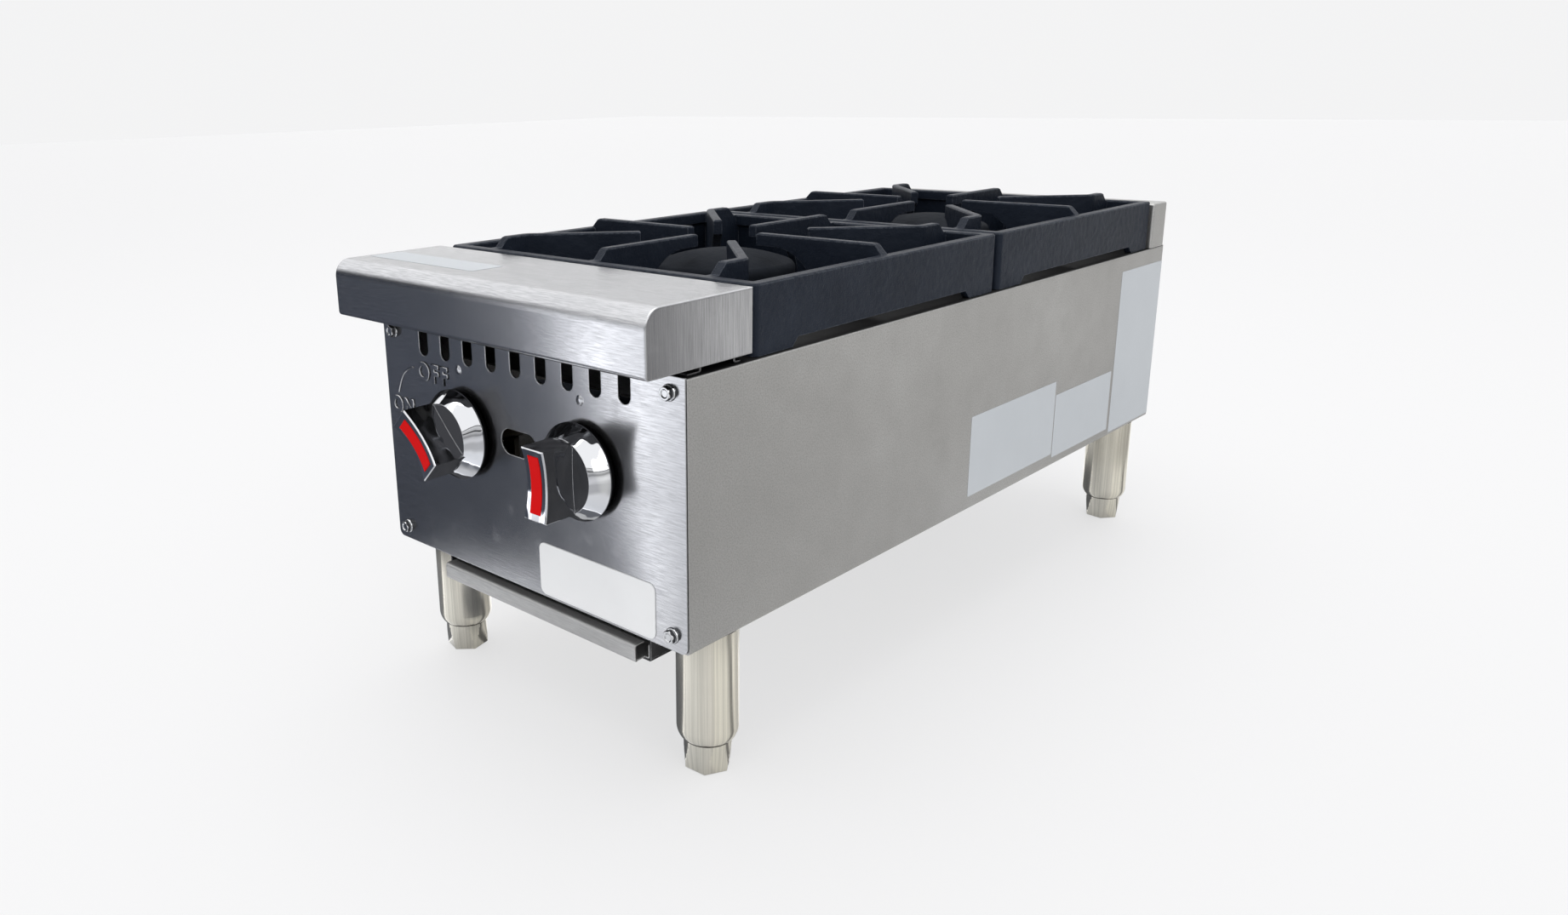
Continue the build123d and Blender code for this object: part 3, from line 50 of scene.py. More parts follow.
MM = 0.001
ACROSS = (1.0, 0.0, 0.0)
UPRIGHT = (0.0, 0.0, 1.0)
WHITE = (1.0, 1.0, 1.0)

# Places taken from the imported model, in metres
BODY_LENGTH = 692 * MM
FRONT_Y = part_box("rear_panel")[1].y - BODY_LENGTH
SIDE_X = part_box("right_side_panel")[1].x
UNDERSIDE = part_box("right_side_panel")[0].z
FLANGE_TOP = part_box("right_side_panel")[1].z
LEDGE_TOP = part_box("bullnose_cap")[1].z


def middle_of(node):
    """The middle of a node's box, seen from above."""
    low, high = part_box(node)
    return (low.x + high.x) / 2, (low.y + high.y) / 2


LEG_AXES = [middle_of(f"leg_{end}_{side}") for end in ("front", "rear") for side in ("left", "right")]

# Whites stay white and darks stay dark, as in a catalogue picture
bpy.context.scene.view_settings.view_transform = "Standard"


# Shader helpers
class Wiring:
    """Adds nodes to one tree and joins them with short calls."""

    def __init__(self, tree):
        self.tree = tree

    def node(self, kind, **settings):
        made = self.tree.nodes.new(kind)
        for key, value in settings.items():
            setattr(made, key, value)
        return made

    def put(self, socket, value):
        if isinstance(value, bpy.types.NodeSocket):
            self.tree.links.new(value, socket)
        else:
            socket.default_value = value

    def math(self, operation, a, b=0.0, clamp=False):
        made = self.node("ShaderNodeMath", operation=operation, use_clamp=clamp)
        self.put(made.inputs[0], a)
        self.put(made.inputs[1], b)
        return made.outputs[0]

    def vector(self, operation, a, b=(0.0, 0.0, 0.0)):
        made = self.node("ShaderNodeVectorMath", operation=operation)
        self.put(made.inputs[0], a)
        self.put(made.inputs[1], b)
        return made.outputs["Value"] if operation in ("DOT_PRODUCT", "LENGTH") else made.outputs[0]

    def brighter(self, colour, factor):
        return self.vector("MULTIPLY", colour, (factor, factor, factor))

    def apart(self, vector):
        made = self.node("ShaderNodeSeparateXYZ")
        self.put(made.inputs[0], vector)
        return made.outputs

    def spread(self, value, low, high, to_low=0.0, to_high=1.0):
        made = self.node("ShaderNodeMapRange", clamp=True)
        given = {"Value": value, "From Min": low, "From Max": high, "To Min": to_low, "To Max": to_high}
        for name, number in given.items():
            self.put(made.inputs[name], number)
        return made.outputs[0]

    def blend(self, amount, a, b, mode="MIX"):
        made = self.node("ShaderNodeMix", data_type="RGBA", blend_type=mode)
        self.put(made.inputs["Factor"], amount)
        self.put(made.inputs["A"], a)
        self.put(made.inputs["B"], b)
        return made.outputs["Result"]

    def mix_number(self, amount, a, b):
        made = self.node("ShaderNodeMix", data_type="FLOAT")
        for label, value in (("Factor", amount), ("A", a), ("B", b)):
            self.put(made.inputs[label], value)
        return made.outputs[0]

    def noise(self, vector, scale, detail=3.0, rough=0.5):
        made = self.node("ShaderNodeTexNoise")
        self.put(made.inputs["Vector"], vector)
        self.put(made.inputs["Scale"], scale)
        self.put(made.inputs["Detail"], detail)
        self.put(made.inputs["Roughness"], rough)
        return made.outputs["Fac"]

    def ramp(self, factor, steps):
        """A colour ramp that is white at both ends, with the given places and colours between."""
        made = self.node("ShaderNodeValToRGB")
        self.put(made.inputs[0], factor)
        elements = made.color_ramp.elements
        for end in elements:
            end.color = tint(WHITE)
        for place, colour in steps:
            elements.new(place).color = tint(colour)
        return made.outputs[0]

    def object_place(self):
        return self.node("ShaderNodeTexCoord").outputs["Object"]


def tint(colour, share=1.0):
    """A colour for a shader's socket, darkened to a share of itself."""
    return (*(tone * share for tone in colour), 1.0)


def shared_effect(name, inputs, outputs):
    """An empty shader node group with named sockets."""
    tree = bpy.data.node_groups.new(name, "ShaderNodeTree")
    for label, kind, value in inputs:
        socket = tree.interface.new_socket(name=label, in_out="INPUT", socket_type=kind)
        socket.default_value = value
    for label, kind in outputs:
        tree.interface.new_socket(name=label, in_out="OUTPUT", socket_type=kind)
    wires = Wiring(tree)
    return tree, wires, wires.node("NodeGroupInput").outputs, wires.node("NodeGroupOutput").inputs


NUMBER, TRIPLE, TINT = "NodeSocketFloat", "NodeSocketVector", "NodeSocketColor"


# Effects that several materials share
def make_brushing():
    """Long fine scratches left by the brushing of a metal sheet."""
    tree, w, given, out = shared_effect(
        "sheet_brushing",
        [("Frequency", TRIPLE, (8.0, 900.0, 900.0)), ("Contrast", NUMBER, 0.5)],
        [("Scratches", NUMBER), ("Bands", NUMBER)],
    )
    broader = (0.35, 0.08, 0.08)
    place = w.vector("MULTIPLY", w.object_place(), given["Frequency"])
    fine = w.noise(place, 1.0, 3.0, 0.6)
    wide = w.noise(w.vector("MULTIPLY", place, broader), 1.0, 2.0, 0.5)
    w.put(out["Scratches"], w.math("MULTIPLY", w.math("SUBTRACT", fine, 0.5), given["Contrast"]))
    w.put(out["Bands"], w.spread(wide, 0.3, 0.7))
    return tree


def make_handling():
    """Faint cloudy marks where a surface was wiped and touched."""
    tree, w, given, out = shared_effect(
        "handling_marks",
        [("Size", NUMBER, 12.0), ("Amount", NUMBER, 0.3)],
        [("Cloud", NUMBER), ("Spots", NUMBER)],
    )
    spots_per_cloud = 9.0
    place = w.object_place()
    cloud = w.spread(w.noise(place, given["Size"], 4.0, 0.6), 0.35, 0.7)
    spot_size = w.math("MULTIPLY", given["Size"], spots_per_cloud)
    spots = w.spread(w.noise(place, spot_size, 2.0, 0.5), 0.62, 0.75)
    w.put(out["Cloud"], w.math("MULTIPLY", cloud, given["Amount"]))
    w.put(out["Spots"], w.math("MULTIPLY", spots, given["Amount"]))
    return tree


def make_edge_wear():
    """A mask along convex and concave edges, broken up by grain."""
    tree, w, given, out = shared_effect(
        "edge_wear",
        [("Radius", NUMBER, 0.001), ("Breakup", NUMBER, 220.0), ("Strength", NUMBER, 1.0)],
        [("Edges", NUMBER), ("Rounded Normal", TRIPLE)],
    )
    bevel = w.node("ShaderNodeBevel", samples=4)
    w.put(bevel.inputs["Radius"], given["Radius"])
    flat = w.node("ShaderNodeNewGeometry").outputs["Normal"]
    facing = w.vector("DOT_PRODUCT", bevel.outputs[0], flat)
    edge = w.spread(facing, 0.999, 0.85)
    grain = w.spread(w.noise(w.object_place(), given["Breakup"], 3.0, 0.7), 0.38, 0.62)
    worn = w.math("MULTIPLY", w.math("MULTIPLY", edge, grain), given["Strength"], clamp=True)
    w.put(out["Edges"], worn)
    w.put(out["Rounded Normal"], bevel.outputs[0])
    return tree


def make_cast_grain():
    """The sandy skin of a casting: coarse lumps, fine grit and a few pits."""
    tree, w, given, out = shared_effect(
        "cast_grain",
        [("Grit", NUMBER, 900.0), ("Lumps", NUMBER, 160.0)],
        [("Height", NUMBER), ("Tone", NUMBER)],
    )
    pits_per_lump = 2.2
    place = w.object_place()
    grit = w.noise(place, given["Grit"], 4.0, 0.65)
    lumps = w.noise(place, given["Lumps"], 3.0, 0.5)
    pits = w.node("ShaderNodeTexVoronoi", feature="F1")
    w.put(pits.inputs["Vector"], place)
    w.put(pits.inputs["Scale"], w.math("MULTIPLY", given["Lumps"], pits_per_lump))
    holes = w.spread(pits.outputs["Distance"], 0.05, 0.22)
    height = w.math("ADD", w.math("MULTIPLY", grit, 0.5), w.math("MULTIPLY", lumps, 0.9))
    w.put(out["Height"], w.math("ADD", height, w.math("MULTIPLY", holes, 0.25)))
    w.put(out["Tone"], w.spread(w.noise(place, 26.0, 4.0, 0.6), 0.3, 0.7))
    return tree


def make_dust():
    """Dust and soot that settle on what faces up."""
    tree, w, given, out = shared_effect(
        "settled_dust",
        [("Amount", NUMBER, 0.2), ("Size", NUMBER, 40.0)],
        [("Dust", NUMBER)],
    )
    upward = w.vector("DOT_PRODUCT", w.node("ShaderNodeNewGeometry").outputs["Normal"], UPRIGHT)
    facing = w.spread(upward, 0.2, 0.95)
    patchy = w.spread(w.noise(w.object_place(), given["Size"], 4.0, 0.65), 0.35, 0.75)
    w.put(out["Dust"], w.math("MULTIPLY", w.math("MULTIPLY", facing, patchy), given["Amount"]))
    return tree


BRUSHING = make_brushing()
HANDLING = make_handling()
EDGE_WEAR = make_edge_wear()
CAST_GRAIN = make_cast_grain()
DUST = make_dust()


def effect(w, tree, **values):
    """Places a shared effect in a material, with its own values."""
    made = w.node("ShaderNodeGroup")
    made.node_tree = tree
    for label, value in values.items():
        w.put(made.inputs[label.replace("_", " ")], value)
    return made.outputs


def finish_material(name, base, **constants):
    """A material with its Principled shader, ready for wiring."""
    material = bpy.data.materials.new(name)
    material.use_nodes = True
    material.node_tree.nodes.clear()
    w = Wiring(material.node_tree)
    shader = w.node("ShaderNodeBsdfPrincipled")
    output = w.node("ShaderNodeOutputMaterial")
    w.put(output.inputs["Surface"], shader.outputs[0])
    shader.inputs["Base Color"].default_value = tint(base)
    for label, value in constants.items():
        shader.inputs[label.replace("_", " ")].default_value = value
    return material, w, shader.inputs


def bumped(w, height, distance, strength=1.0, normal=None):
    bump = w.node("ShaderNodeBump")
    w.put(bump.inputs["Height"], height)
    bump.inputs["Distance"].default_value = distance
    bump.inputs["Strength"].default_value = strength
    if normal is not None:
        w.put(bump.inputs["Normal"], normal)
    return bump.outputs[0]


# How often scratches and turning rings repeat along each axis, per metre
BRUSHED_ACROSS = (90.0, 1200.0, 1200.0)
BRUSHED_UPRIGHT = (1100.0, 1100.0, 40.0)
TURNED_ALONG_Y = (900.0, 30.0, 900.0)
TURNED_ALONG_Z = (30.0, 30.0, 1600.0)

# Tones of what wears bare or settles, of the painted highlight on the iron's edges and of the painted
# shade on the side panels' flanges
WORN_BRUSHED = (0.80, 0.80, 0.79)
WORN_SATIN = (0.70, 0.70, 0.69)
WORN_NICKEL = (0.90, 0.88, 0.82)
IRON_WEAR_AND_EDGE_HIGHLIGHT = (0.20, 0.22, 0.26)
SETTLED_DUST = (0.060, 0.066, 0.080)
FLANGE_SHADE_TONE = (0.005, 0.005, 0.006)

# Painted shade lies this near the top of the side panels' flanges, and a leg's metal this near its axis
FLANGE_BAND = 2 * MM
LEG_REACH = 30 * MM


# Finishes
def brushed_sheet(name, light, dark, rough, depth, upright_grain_and_shaded_ends=False, metallic=1.0):
    """Sheet metal brushed from side to side. On a folded piece's ends the grain may run upright, and those
    ends are then painted darker as shade.
    """
    material, w, s = finish_material(name, light, Metallic=metallic, Anisotropic=0.65)
    grain = effect(w, BRUSHING, Frequency=BRUSHED_ACROSS, Contrast=1.0)
    scratches, bands = grain["Scratches"], grain["Bands"]
    normal = w.node("ShaderNodeNewGeometry").outputs["Normal"]
    sideways = w.math("ABSOLUTE", w.vector("DOT_PRODUCT", normal, ACROSS))
    ends = w.spread(sideways, 0.6, 0.8)
    painted_end_shade = 0.0
    if upright_grain_and_shaded_ends:
        end_grain = effect(w, BRUSHING, Frequency=BRUSHED_UPRIGHT, Contrast=1.0)
        scratches = w.mix_number(ends, scratches, end_grain["Scratches"])
        bands = w.mix_number(ends, bands, end_grain["Bands"])
        # Painted shade: the ends that face sideways are darkened, as they take less light
        painted_end_shade = w.math("MULTIPLY", ends, 0.45)
    axis = w.blend(ends, (*ACROSS, 1.0), (*UPRIGHT, 1.0))
    w.put(s["Tangent"], w.vector("CROSS_PRODUCT", normal, axis))
    marks = effect(w, HANDLING, Size=9.0, Amount=1.0)
    wear = effect(w, EDGE_WEAR, Radius=0.9 * MM, Breakup=300.0, Strength=0.5)
    tone = w.blend(w.math("MULTIPLY", bands, 0.14), tint(light), tint(dark))
    tone = w.blend(w.math("MULTIPLY", marks["Cloud"], 0.25), tone, tint(dark))
    scratched = w.math("ADD", w.math("MULTIPLY", scratches, 2.2), 0.30, clamp=True)
    tone = w.blend(scratched, tone, tint(dark))
    tone = w.blend(painted_end_shade, tone, tint(dark, 0.35))
    tone = w.blend(wear["Edges"], tone, tint(WORN_BRUSHED))
    w.put(s["Base Color"], tone)
    roughness = w.math("ADD", w.math("MULTIPLY", scratches, 0.12), rough)
    roughness = w.math("ADD", roughness, w.math("MULTIPLY", marks["Cloud"], 0.06))
    w.put(s["Roughness"], w.math("ADD", roughness, w.math("MULTIPLY", marks["Spots"], 0.04)))
    w.put(s["Normal"], bumped(w, scratches, depth, 1.0, wear["Rounded Normal"]))
    return material


def satin_sheet(name, light, dark, rough, flange_shade_amount):
    """Dull rolled sheet, cloudy and finely pimpled, with painted shade on the flanges under the grates."""
    material, w, s = finish_material(name, light, Metallic=1.0)
    marks = effect(w, HANDLING, Size=5.0, Amount=1.0)
    fine = effect(w, HANDLING, Size=42.0, Amount=1.0)
    wear = effect(w, EDGE_WEAR, Radius=0.9 * MM, Breakup=300.0, Strength=0.4)
    pimples = w.noise(w.object_place(), 1000.0, 3.0, 0.6)
    tone = w.blend(w.math("MULTIPLY", marks["Cloud"], 0.55), tint(light), tint(dark))
    tone = w.blend(w.math("MULTIPLY", fine["Cloud"], 0.18), tone, tint(dark))
    tone = w.blend(w.spread(pimples, 0.42, 0.70, 0.0, 0.75), tone, tint(dark, 0.8))
    upward = w.vector("DOT_PRODUCT", w.node("ShaderNodeNewGeometry").outputs["Normal"], UPRIGHT)
    level = w.math("SUBTRACT", w.apart(w.object_place())["Z"], FLANGE_TOP)
    on_flange = w.math("LESS_THAN", w.math("ABSOLUTE", level), FLANGE_BAND)
    # Painted shade: the up-facing flange tops under the grates are darkened and dulled where the grates'
    # shadow falls
    flange_shade = w.math("MULTIPLY", w.spread(upward, 0.5, 0.8), on_flange)
    tone = w.blend(w.math("MULTIPLY", flange_shade, flange_shade_amount), tone, tint(FLANGE_SHADE_TONE))
    tone = w.blend(wear["Edges"], tone, tint(WORN_SATIN))
    w.put(s["Base Color"], tone)
    roughness = w.math("ADD", w.math("MULTIPLY", fine["Cloud"], 0.07), rough)
    roughness = w.math("ADD", roughness, w.math("MULTIPLY", flange_shade, 0.3 * flange_shade_amount))
    w.put(s["Roughness"], w.math("ADD", roughness, w.math("MULTIPLY", marks["Spots"], 0.05)))
    w.put(s["Normal"], bumped(w, pimples, 0.02 * MM, 0.5, wear["Rounded Normal"]))
    return material


def drawn_tube(name, base, rough):
    """A plated leg or foot, with upright dark bands painted all the way round its own axis as reflections.
    """
    material, w, s = finish_material(name, base, Metallic=1.0)
    place = w.apart(w.object_place())
    painted_reflection_bands = 0.5
    for axis_x, axis_y in LEG_AXES:
        from_x = w.math("SUBTRACT", place["X"], axis_x)
        from_y = w.math("SUBTRACT", place["Y"], axis_y)
        offset = w.math("MAXIMUM", w.math("ABSOLUTE", from_x), w.math("ABSOLUTE", from_y))
        around = w.node("ShaderNodeCombineXYZ")
        w.put(around.inputs["X"], w.math("ARCTAN2", from_y, from_x))
        w.put(around.inputs["Y"], w.math("MULTIPLY", place["Z"], 0.25))
        near = w.math("LESS_THAN", offset, LEG_REACH)
        painted_reflection_bands = w.mix_number(near, painted_reflection_bands, w.noise(around.outputs[0], 7.0, 4.0, 0.75))
    # The dark bands are painted reflections of the room, striping the plating round each leg and foot
    dark = w.spread(painted_reflection_bands, 0.42, 0.60)
    marks = effect(w, HANDLING, Size=30.0, Amount=0.6)
    wear = effect(w, EDGE_WEAR, Radius=0.6 * MM, Breakup=400.0, Strength=0.3)
    tone = w.blend(w.math("MULTIPLY", dark, 0.38), tint(base), tint(base, 0.42))
    tone = w.blend(w.math("MULTIPLY", marks["Cloud"], 0.25), tone, tint(base, 0.7))
    tone = w.blend(wear["Edges"], tone, tint(WORN_NICKEL))
    w.put(s["Base Color"], tone)
    roughness = w.math("ADD", w.math("MULTIPLY", marks["Cloud"], 0.08), rough)
    w.put(s["Roughness"], w.math("ADD", roughness, w.math("MULTIPLY", dark, 0.06)))
    w.put(s["Normal"], wear["Rounded Normal"])
    return material


def cast_metal(name, dark, light, rough, depth, dust, gloss=0.10):
    """Cast iron, bare or under enamel: grit, soft sheen, paler edges that are partly wear and partly
    painted highlight, and dust.
    """
    material, w, s = finish_material(name, dark, Metallic=0.0, Specular_IOR_Level=gloss)
    grain = effect(w, CAST_GRAIN, Grit=900.0, Lumps=170.0)
    wear = effect(w, EDGE_WEAR, Radius=1.2 * MM, Breakup=260.0, Strength=0.65)
    settled = effect(w, DUST, Amount=dust, Size=45.0)
    tone = w.blend(w.math("MULTIPLY", grain["Tone"], 0.6), tint(dark), tint(light))
    tone = w.blend(settled["Dust"], tone, tint(SETTLED_DUST))
    # The pale edge tone is partly wear and partly a painted highlight along the edges
    tone = w.blend(wear["Edges"], tone, tint(IRON_WEAR_AND_EDGE_HIGHLIGHT))
    w.put(s["Base Color"], tone)
    w.put(s["Roughness"], w.spread(grain["Height"], 0.3, 1.2, rough + 0.08, rough - 0.08))
    w.put(s["Normal"], bumped(w, grain["Height"], depth, 0.8, wear["Rounded Normal"]))
    return material


def polished_metal(name, base, rough, rings=None, marks_amount=0.5, waviness=0.0):
    """Plated or turned metal with faint handling marks, and turning rings or wavy plating if asked."""
    material, w, s = finish_material(name, base, Metallic=1.0)
    marks = effect(w, HANDLING, Size=30.0, Amount=marks_amount)
    wear = effect(w, EDGE_WEAR, Radius=0.5 * MM, Breakup=400.0, Strength=0.2)
    tone = w.blend(w.math("MULTIPLY", marks["Cloud"], 0.35), tint(base), tint(base, 0.72))
    normal = wear["Rounded Normal"]
    roughness = w.math("ADD", w.math("MULTIPLY", marks["Cloud"], 0.10), rough)
    roughness = w.math("ADD", roughness, w.math("MULTIPLY", marks["Spots"], 0.06))
    if rings:
        grain = effect(w, BRUSHING, Frequency=rings, Contrast=1.0)
        tone = w.blend(w.math("MULTIPLY", grain["Bands"], 0.25), tone, tint(base, 0.6))
        roughness = w.math("ADD", roughness, w.math("MULTIPLY", grain["Scratches"], 0.12))
        normal = bumped(w, grain["Scratches"], 0.04 * MM, 1.0, normal)
    if waviness:
        swell = w.noise(w.vector("MULTIPLY", w.object_place(), (1.0, 1.0, 0.5)), 70.0, 1.0, 0.4)
        normal = bumped(w, swell, waviness, 1.0, normal)
    w.put(s["Base Color"], tone)
    w.put(s["Roughness"], roughness)
    w.put(s["Normal"], normal)
    return material


def moulded_plastic(name, base, rough, gloss):
    """Finely grained plastic with rubbed corners."""
    material, w, s = finish_material(name, base, Specular_IOR_Level=gloss)
    grain = effect(w, CAST_GRAIN, Grit=1500.0, Lumps=500.0)
    marks = effect(w, HANDLING, Size=60.0, Amount=0.5)
    wear = effect(w, EDGE_WEAR, Radius=0.4 * MM, Breakup=500.0, Strength=0.15)
    rubbed = tuple(min(1.0, tone * 1.5 + 0.01) for tone in base)
    tone = w.blend(w.math("MULTIPLY", marks["Cloud"], 0.3), tint(base), tint(base, 0.7))
    tone = w.blend(wear["Edges"], tone, tint(rubbed))
    w.put(s["Base Color"], tone)
    w.put(s["Roughness"], w.math("ADD", w.math("MULTIPLY", marks["Cloud"], 0.15), rough))
    w.put(s["Normal"], bumped(w, grain["Height"], 0.02 * MM, 0.5, wear["Rounded Normal"]))
    return material


def paper_sheet(name, base, rough):
    """A stuck-on sheet: slightly mottled paper under a thin clear film."""
    material, w, s = finish_material(name, base, Coat_Roughness=0.25, Coat_Weight=0.35)
    marks = effect(w, HANDLING, Size=25.0, Amount=0.6)
    fibres = w.noise(w.object_place(), 700.0, 4.0, 0.7)
    cockled = w.math("ADD", fibres, w.math("MULTIPLY", marks["Cloud"], 3.0))
    tone = w.blend(w.math("MULTIPLY", marks["Cloud"], 0.35), tint(base), tint(base, 0.86))
    w.put(s["Base Color"], tone)
    w.put(s["Roughness"], w.math("ADD", w.math("MULTIPLY", fibres, 0.15), rough))
    w.put(s["Normal"], bumped(w, cockled, 0.05 * MM, 0.6))
    return material


finishes = {
    "stainless_front": brushed_sheet(
        "front_sheet_brushed", light=(0.72, 0.725, 0.74), dark=(0.46, 0.465, 0.48),
        rough=0.165, depth=0.02 * MM, upright_grain_and_shaded_ends=True),
    "side_sheet": satin_sheet(
        "side_sheet_satin", light=(0.58, 0.578, 0.567), dark=(0.44, 0.433, 0.42),
        rough=0.42, flange_shade_amount=0.95),
    # Painted shade: the inner sheets are darkened to stand for the shadow inside the body and round the
    # tray guides
    "inner_sheet": brushed_sheet(
        "inner_sheet_dull", light=(0.16, 0.16, 0.165), dark=(0.09, 0.09, 0.093),
        rough=0.45, depth=0.03 * MM),
    "tray_sheet": brushed_sheet(
        "tray_sheet_brushed", light=(0.60, 0.60, 0.59), dark=(0.42, 0.42, 0.42),
        rough=0.34, depth=0.04 * MM, metallic=0.65),
    "grate_iron": cast_metal(
        "grate_enamelled_iron", dark=(0.010, 0.014, 0.023), light=(0.020, 0.026, 0.039),
        rough=0.40, depth=1.0 * MM, dust=0.10),
    "burner_iron": cast_metal(
        "burner_bare_iron", dark=(0.010, 0.012, 0.016), light=(0.022, 0.025, 0.031),
        rough=0.70, depth=0.5 * MM, dust=0.06, gloss=0.03),
    "leg_metal": drawn_tube("leg_nickel", (0.80, 0.765, 0.665), rough=0.15),
    "foot_metal": drawn_tube("foot_nickel", (0.74, 0.71, 0.62), rough=0.12),
    "knob_chrome": polished_metal(
        "knob_chrome_plate", (0.74, 0.75, 0.77), rough=0.03, marks_amount=0.20, waviness=1.6 * MM),
    "knob_black": moulded_plastic("knob_black_skirt", (0.002, 0.002, 0.0025), rough=0.60, gloss=0.04),
    "knob_red": moulded_plastic("knob_red_insert", (0.64, 0.003, 0.004), rough=0.45, gloss=0.05),
    # Painted shade: the brass is darkened far below aged brass, for the dark inside of the body where the
    # valves sit
    "brass": polished_metal("valve_brass", (0.060, 0.047, 0.028), rough=0.38, rings=TURNED_ALONG_Y),
    "gas_pipe": cast_metal(
        "pipe_black_paint", dark=(0.022, 0.022, 0.023), light=(0.045, 0.045, 0.047),
        rough=0.42, depth=0.1 * MM, dust=0.15),
    "pilot_metal": polished_metal("pilot_aluminium", (0.74, 0.74, 0.74), rough=0.30, rings=TURNED_ALONG_Z),
    "screw_metal": polished_metal("screw_zinc", (0.70, 0.71, 0.72), rough=0.10, marks_amount=0.6),
}
BADGE_WHITE = paper_sheet("badge_white", (0.84, 0.85, 0.86), 0.30)
LABEL_WHITE = paper_sheet("label_white", (0.50, 0.53, 0.56), 0.45)

for entry in frame["record"]["subparts"]:
    part = nodes[entry["node"]]
    part.data.materials.clear()
    part.data.materials.append(finishes[entry["material_slot"]])


# Pieces added to the solids
def new_piece(name, mesh, material, body="body"):
    """A finished piece at the origin, which rides on a body."""
    piece = bpy.data.objects.new(name, mesh)
    bpy.context.scene.collection.objects.link(piece)
    mesh.materials.clear()
    mesh.materials.append(material)
    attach(piece, body)
    return piece


def evaluated_mesh(holder):
    """What an object's text, curve or modifiers make, as a plain mesh."""
    bpy.context.view_layer.update()
    evaluated = holder.evaluated_get(bpy.context.evaluated_depsgraph_get())
    return bpy.data.meshes.new_from_object(evaluated)


def mesh_of_curve(name, curve):
    """Turns a curve or a text into a plain mesh."""
    holder = bpy.data.objects.new(name, curve)
    bpy.context.scene.collection.objects.link(holder)
    mesh = evaluated_mesh(holder)
    bpy.data.objects.remove(holder)
    return mesh


def rounded_outline(width, height, radius, steps=6):
    """Points round a rectangle with rounded corners."""
    points = []
    for corner in range(4):
        side = 0.5 if corner in (0, 3) else -0.5
        end = 0.5 if corner < 2 else -0.5
        centre = Vector((side * (width - 2 * radius), end * (height - 2 * radius)))
        for step in range(steps + 1):
            angle = math.pi / 2 * (corner + step / steps)
            points.append(centre + radius * Vector((math.cos(angle), math.sin(angle))))
    return points


def thin_sheet(name, width, height, radius, thickness, edge, place, material):
    """A thin rounded plate or sheet with softened edges, laid on a face by a matrix."""
    bm = bmesh.new()
    outer = rounded_outline(width, height, radius)
    inner = rounded_outline(width - 2 * edge, height - 2 * edge, max(radius - edge, radius * 0.3))
    rings = []
    for outline, level in ((outer, 0.0), (outer, thickness - edge * 0.6), (inner, thickness)):
        rings.append([bm.verts.new((p.x, p.y, level)) for p in outline])
    count = len(outer)
    for low, high in zip(rings, rings[1:]):
        for i in range(count):
            j = (i + 1) % count
            bm.faces.new((low[i], low[j], high[j], high[i]))
    bm.faces.new(rings[-1])
    bm.faces.new(list(reversed(rings[0])))
    bm.transform(place)
    bmesh.ops.recalc_face_normals(bm, faces=bm.faces)
    mesh = bpy.data.meshes.new(name)
    bm.to_mesh(mesh)
    bm.free()
    return new_piece(name, mesh, material)


def on_front(x, z):
    """A matrix that lays a sheet's face to the front, centred z mm above the body's underside."""
    turn = Matrix(((1, 0, 0), (0, 0, -1), (0, 1, 0))).to_4x4()
    return Matrix.Translation((x * MM, FRONT_Y, UNDERSIDE + z * MM)) @ turn


def on_right_side(y, z):
    """A matrix that lays a sheet's face to the right, centred y mm behind the front panel."""
    turn = Matrix(((0, 0, 1), (1, 0, 0), (0, 1, 0))).to_4x4()
    return Matrix.Translation((SIDE_X, FRONT_Y + y * MM, UNDERSIDE + z * MM)) @ turn


def paper(name, width, height, place):
    """A stuck-on sheet, with its width and height in millimetres."""
    corner, thickness, edge = 0.8 * MM, 0.15 * MM, 0.05 * MM
    thin_sheet(name, width * MM, height * MM, corner, thickness, edge, place, LABEL_WHITE)


thin_sheet("front_badge_plate", 106.5 * MM, 37 * MM, radius=5 * MM, thickness=0.8 * MM, edge=0.25 * MM,
           place=on_front(70.2, 20.5), material=BADGE_WHITE)
paper("side_sheet_low", 146, 66, on_right_side(403.5, 44))
paper("side_sheet_middle", 115, 57, on_right_side(535.5, 36))
paper("side_sheet_tall", 93, 154, on_right_side(644.5, 80))
paper("ledge_sheet", 118, 26, Matrix.Translation((-88 * MM, FRONT_Y + 5 * MM, LEDGE_TOP)))


# Turned pieces: Geometry Nodes lay a grid round an axis from a table of radii and heights
HALF_FLAT = math.pi / 6
SAME_POINT = 1e-6


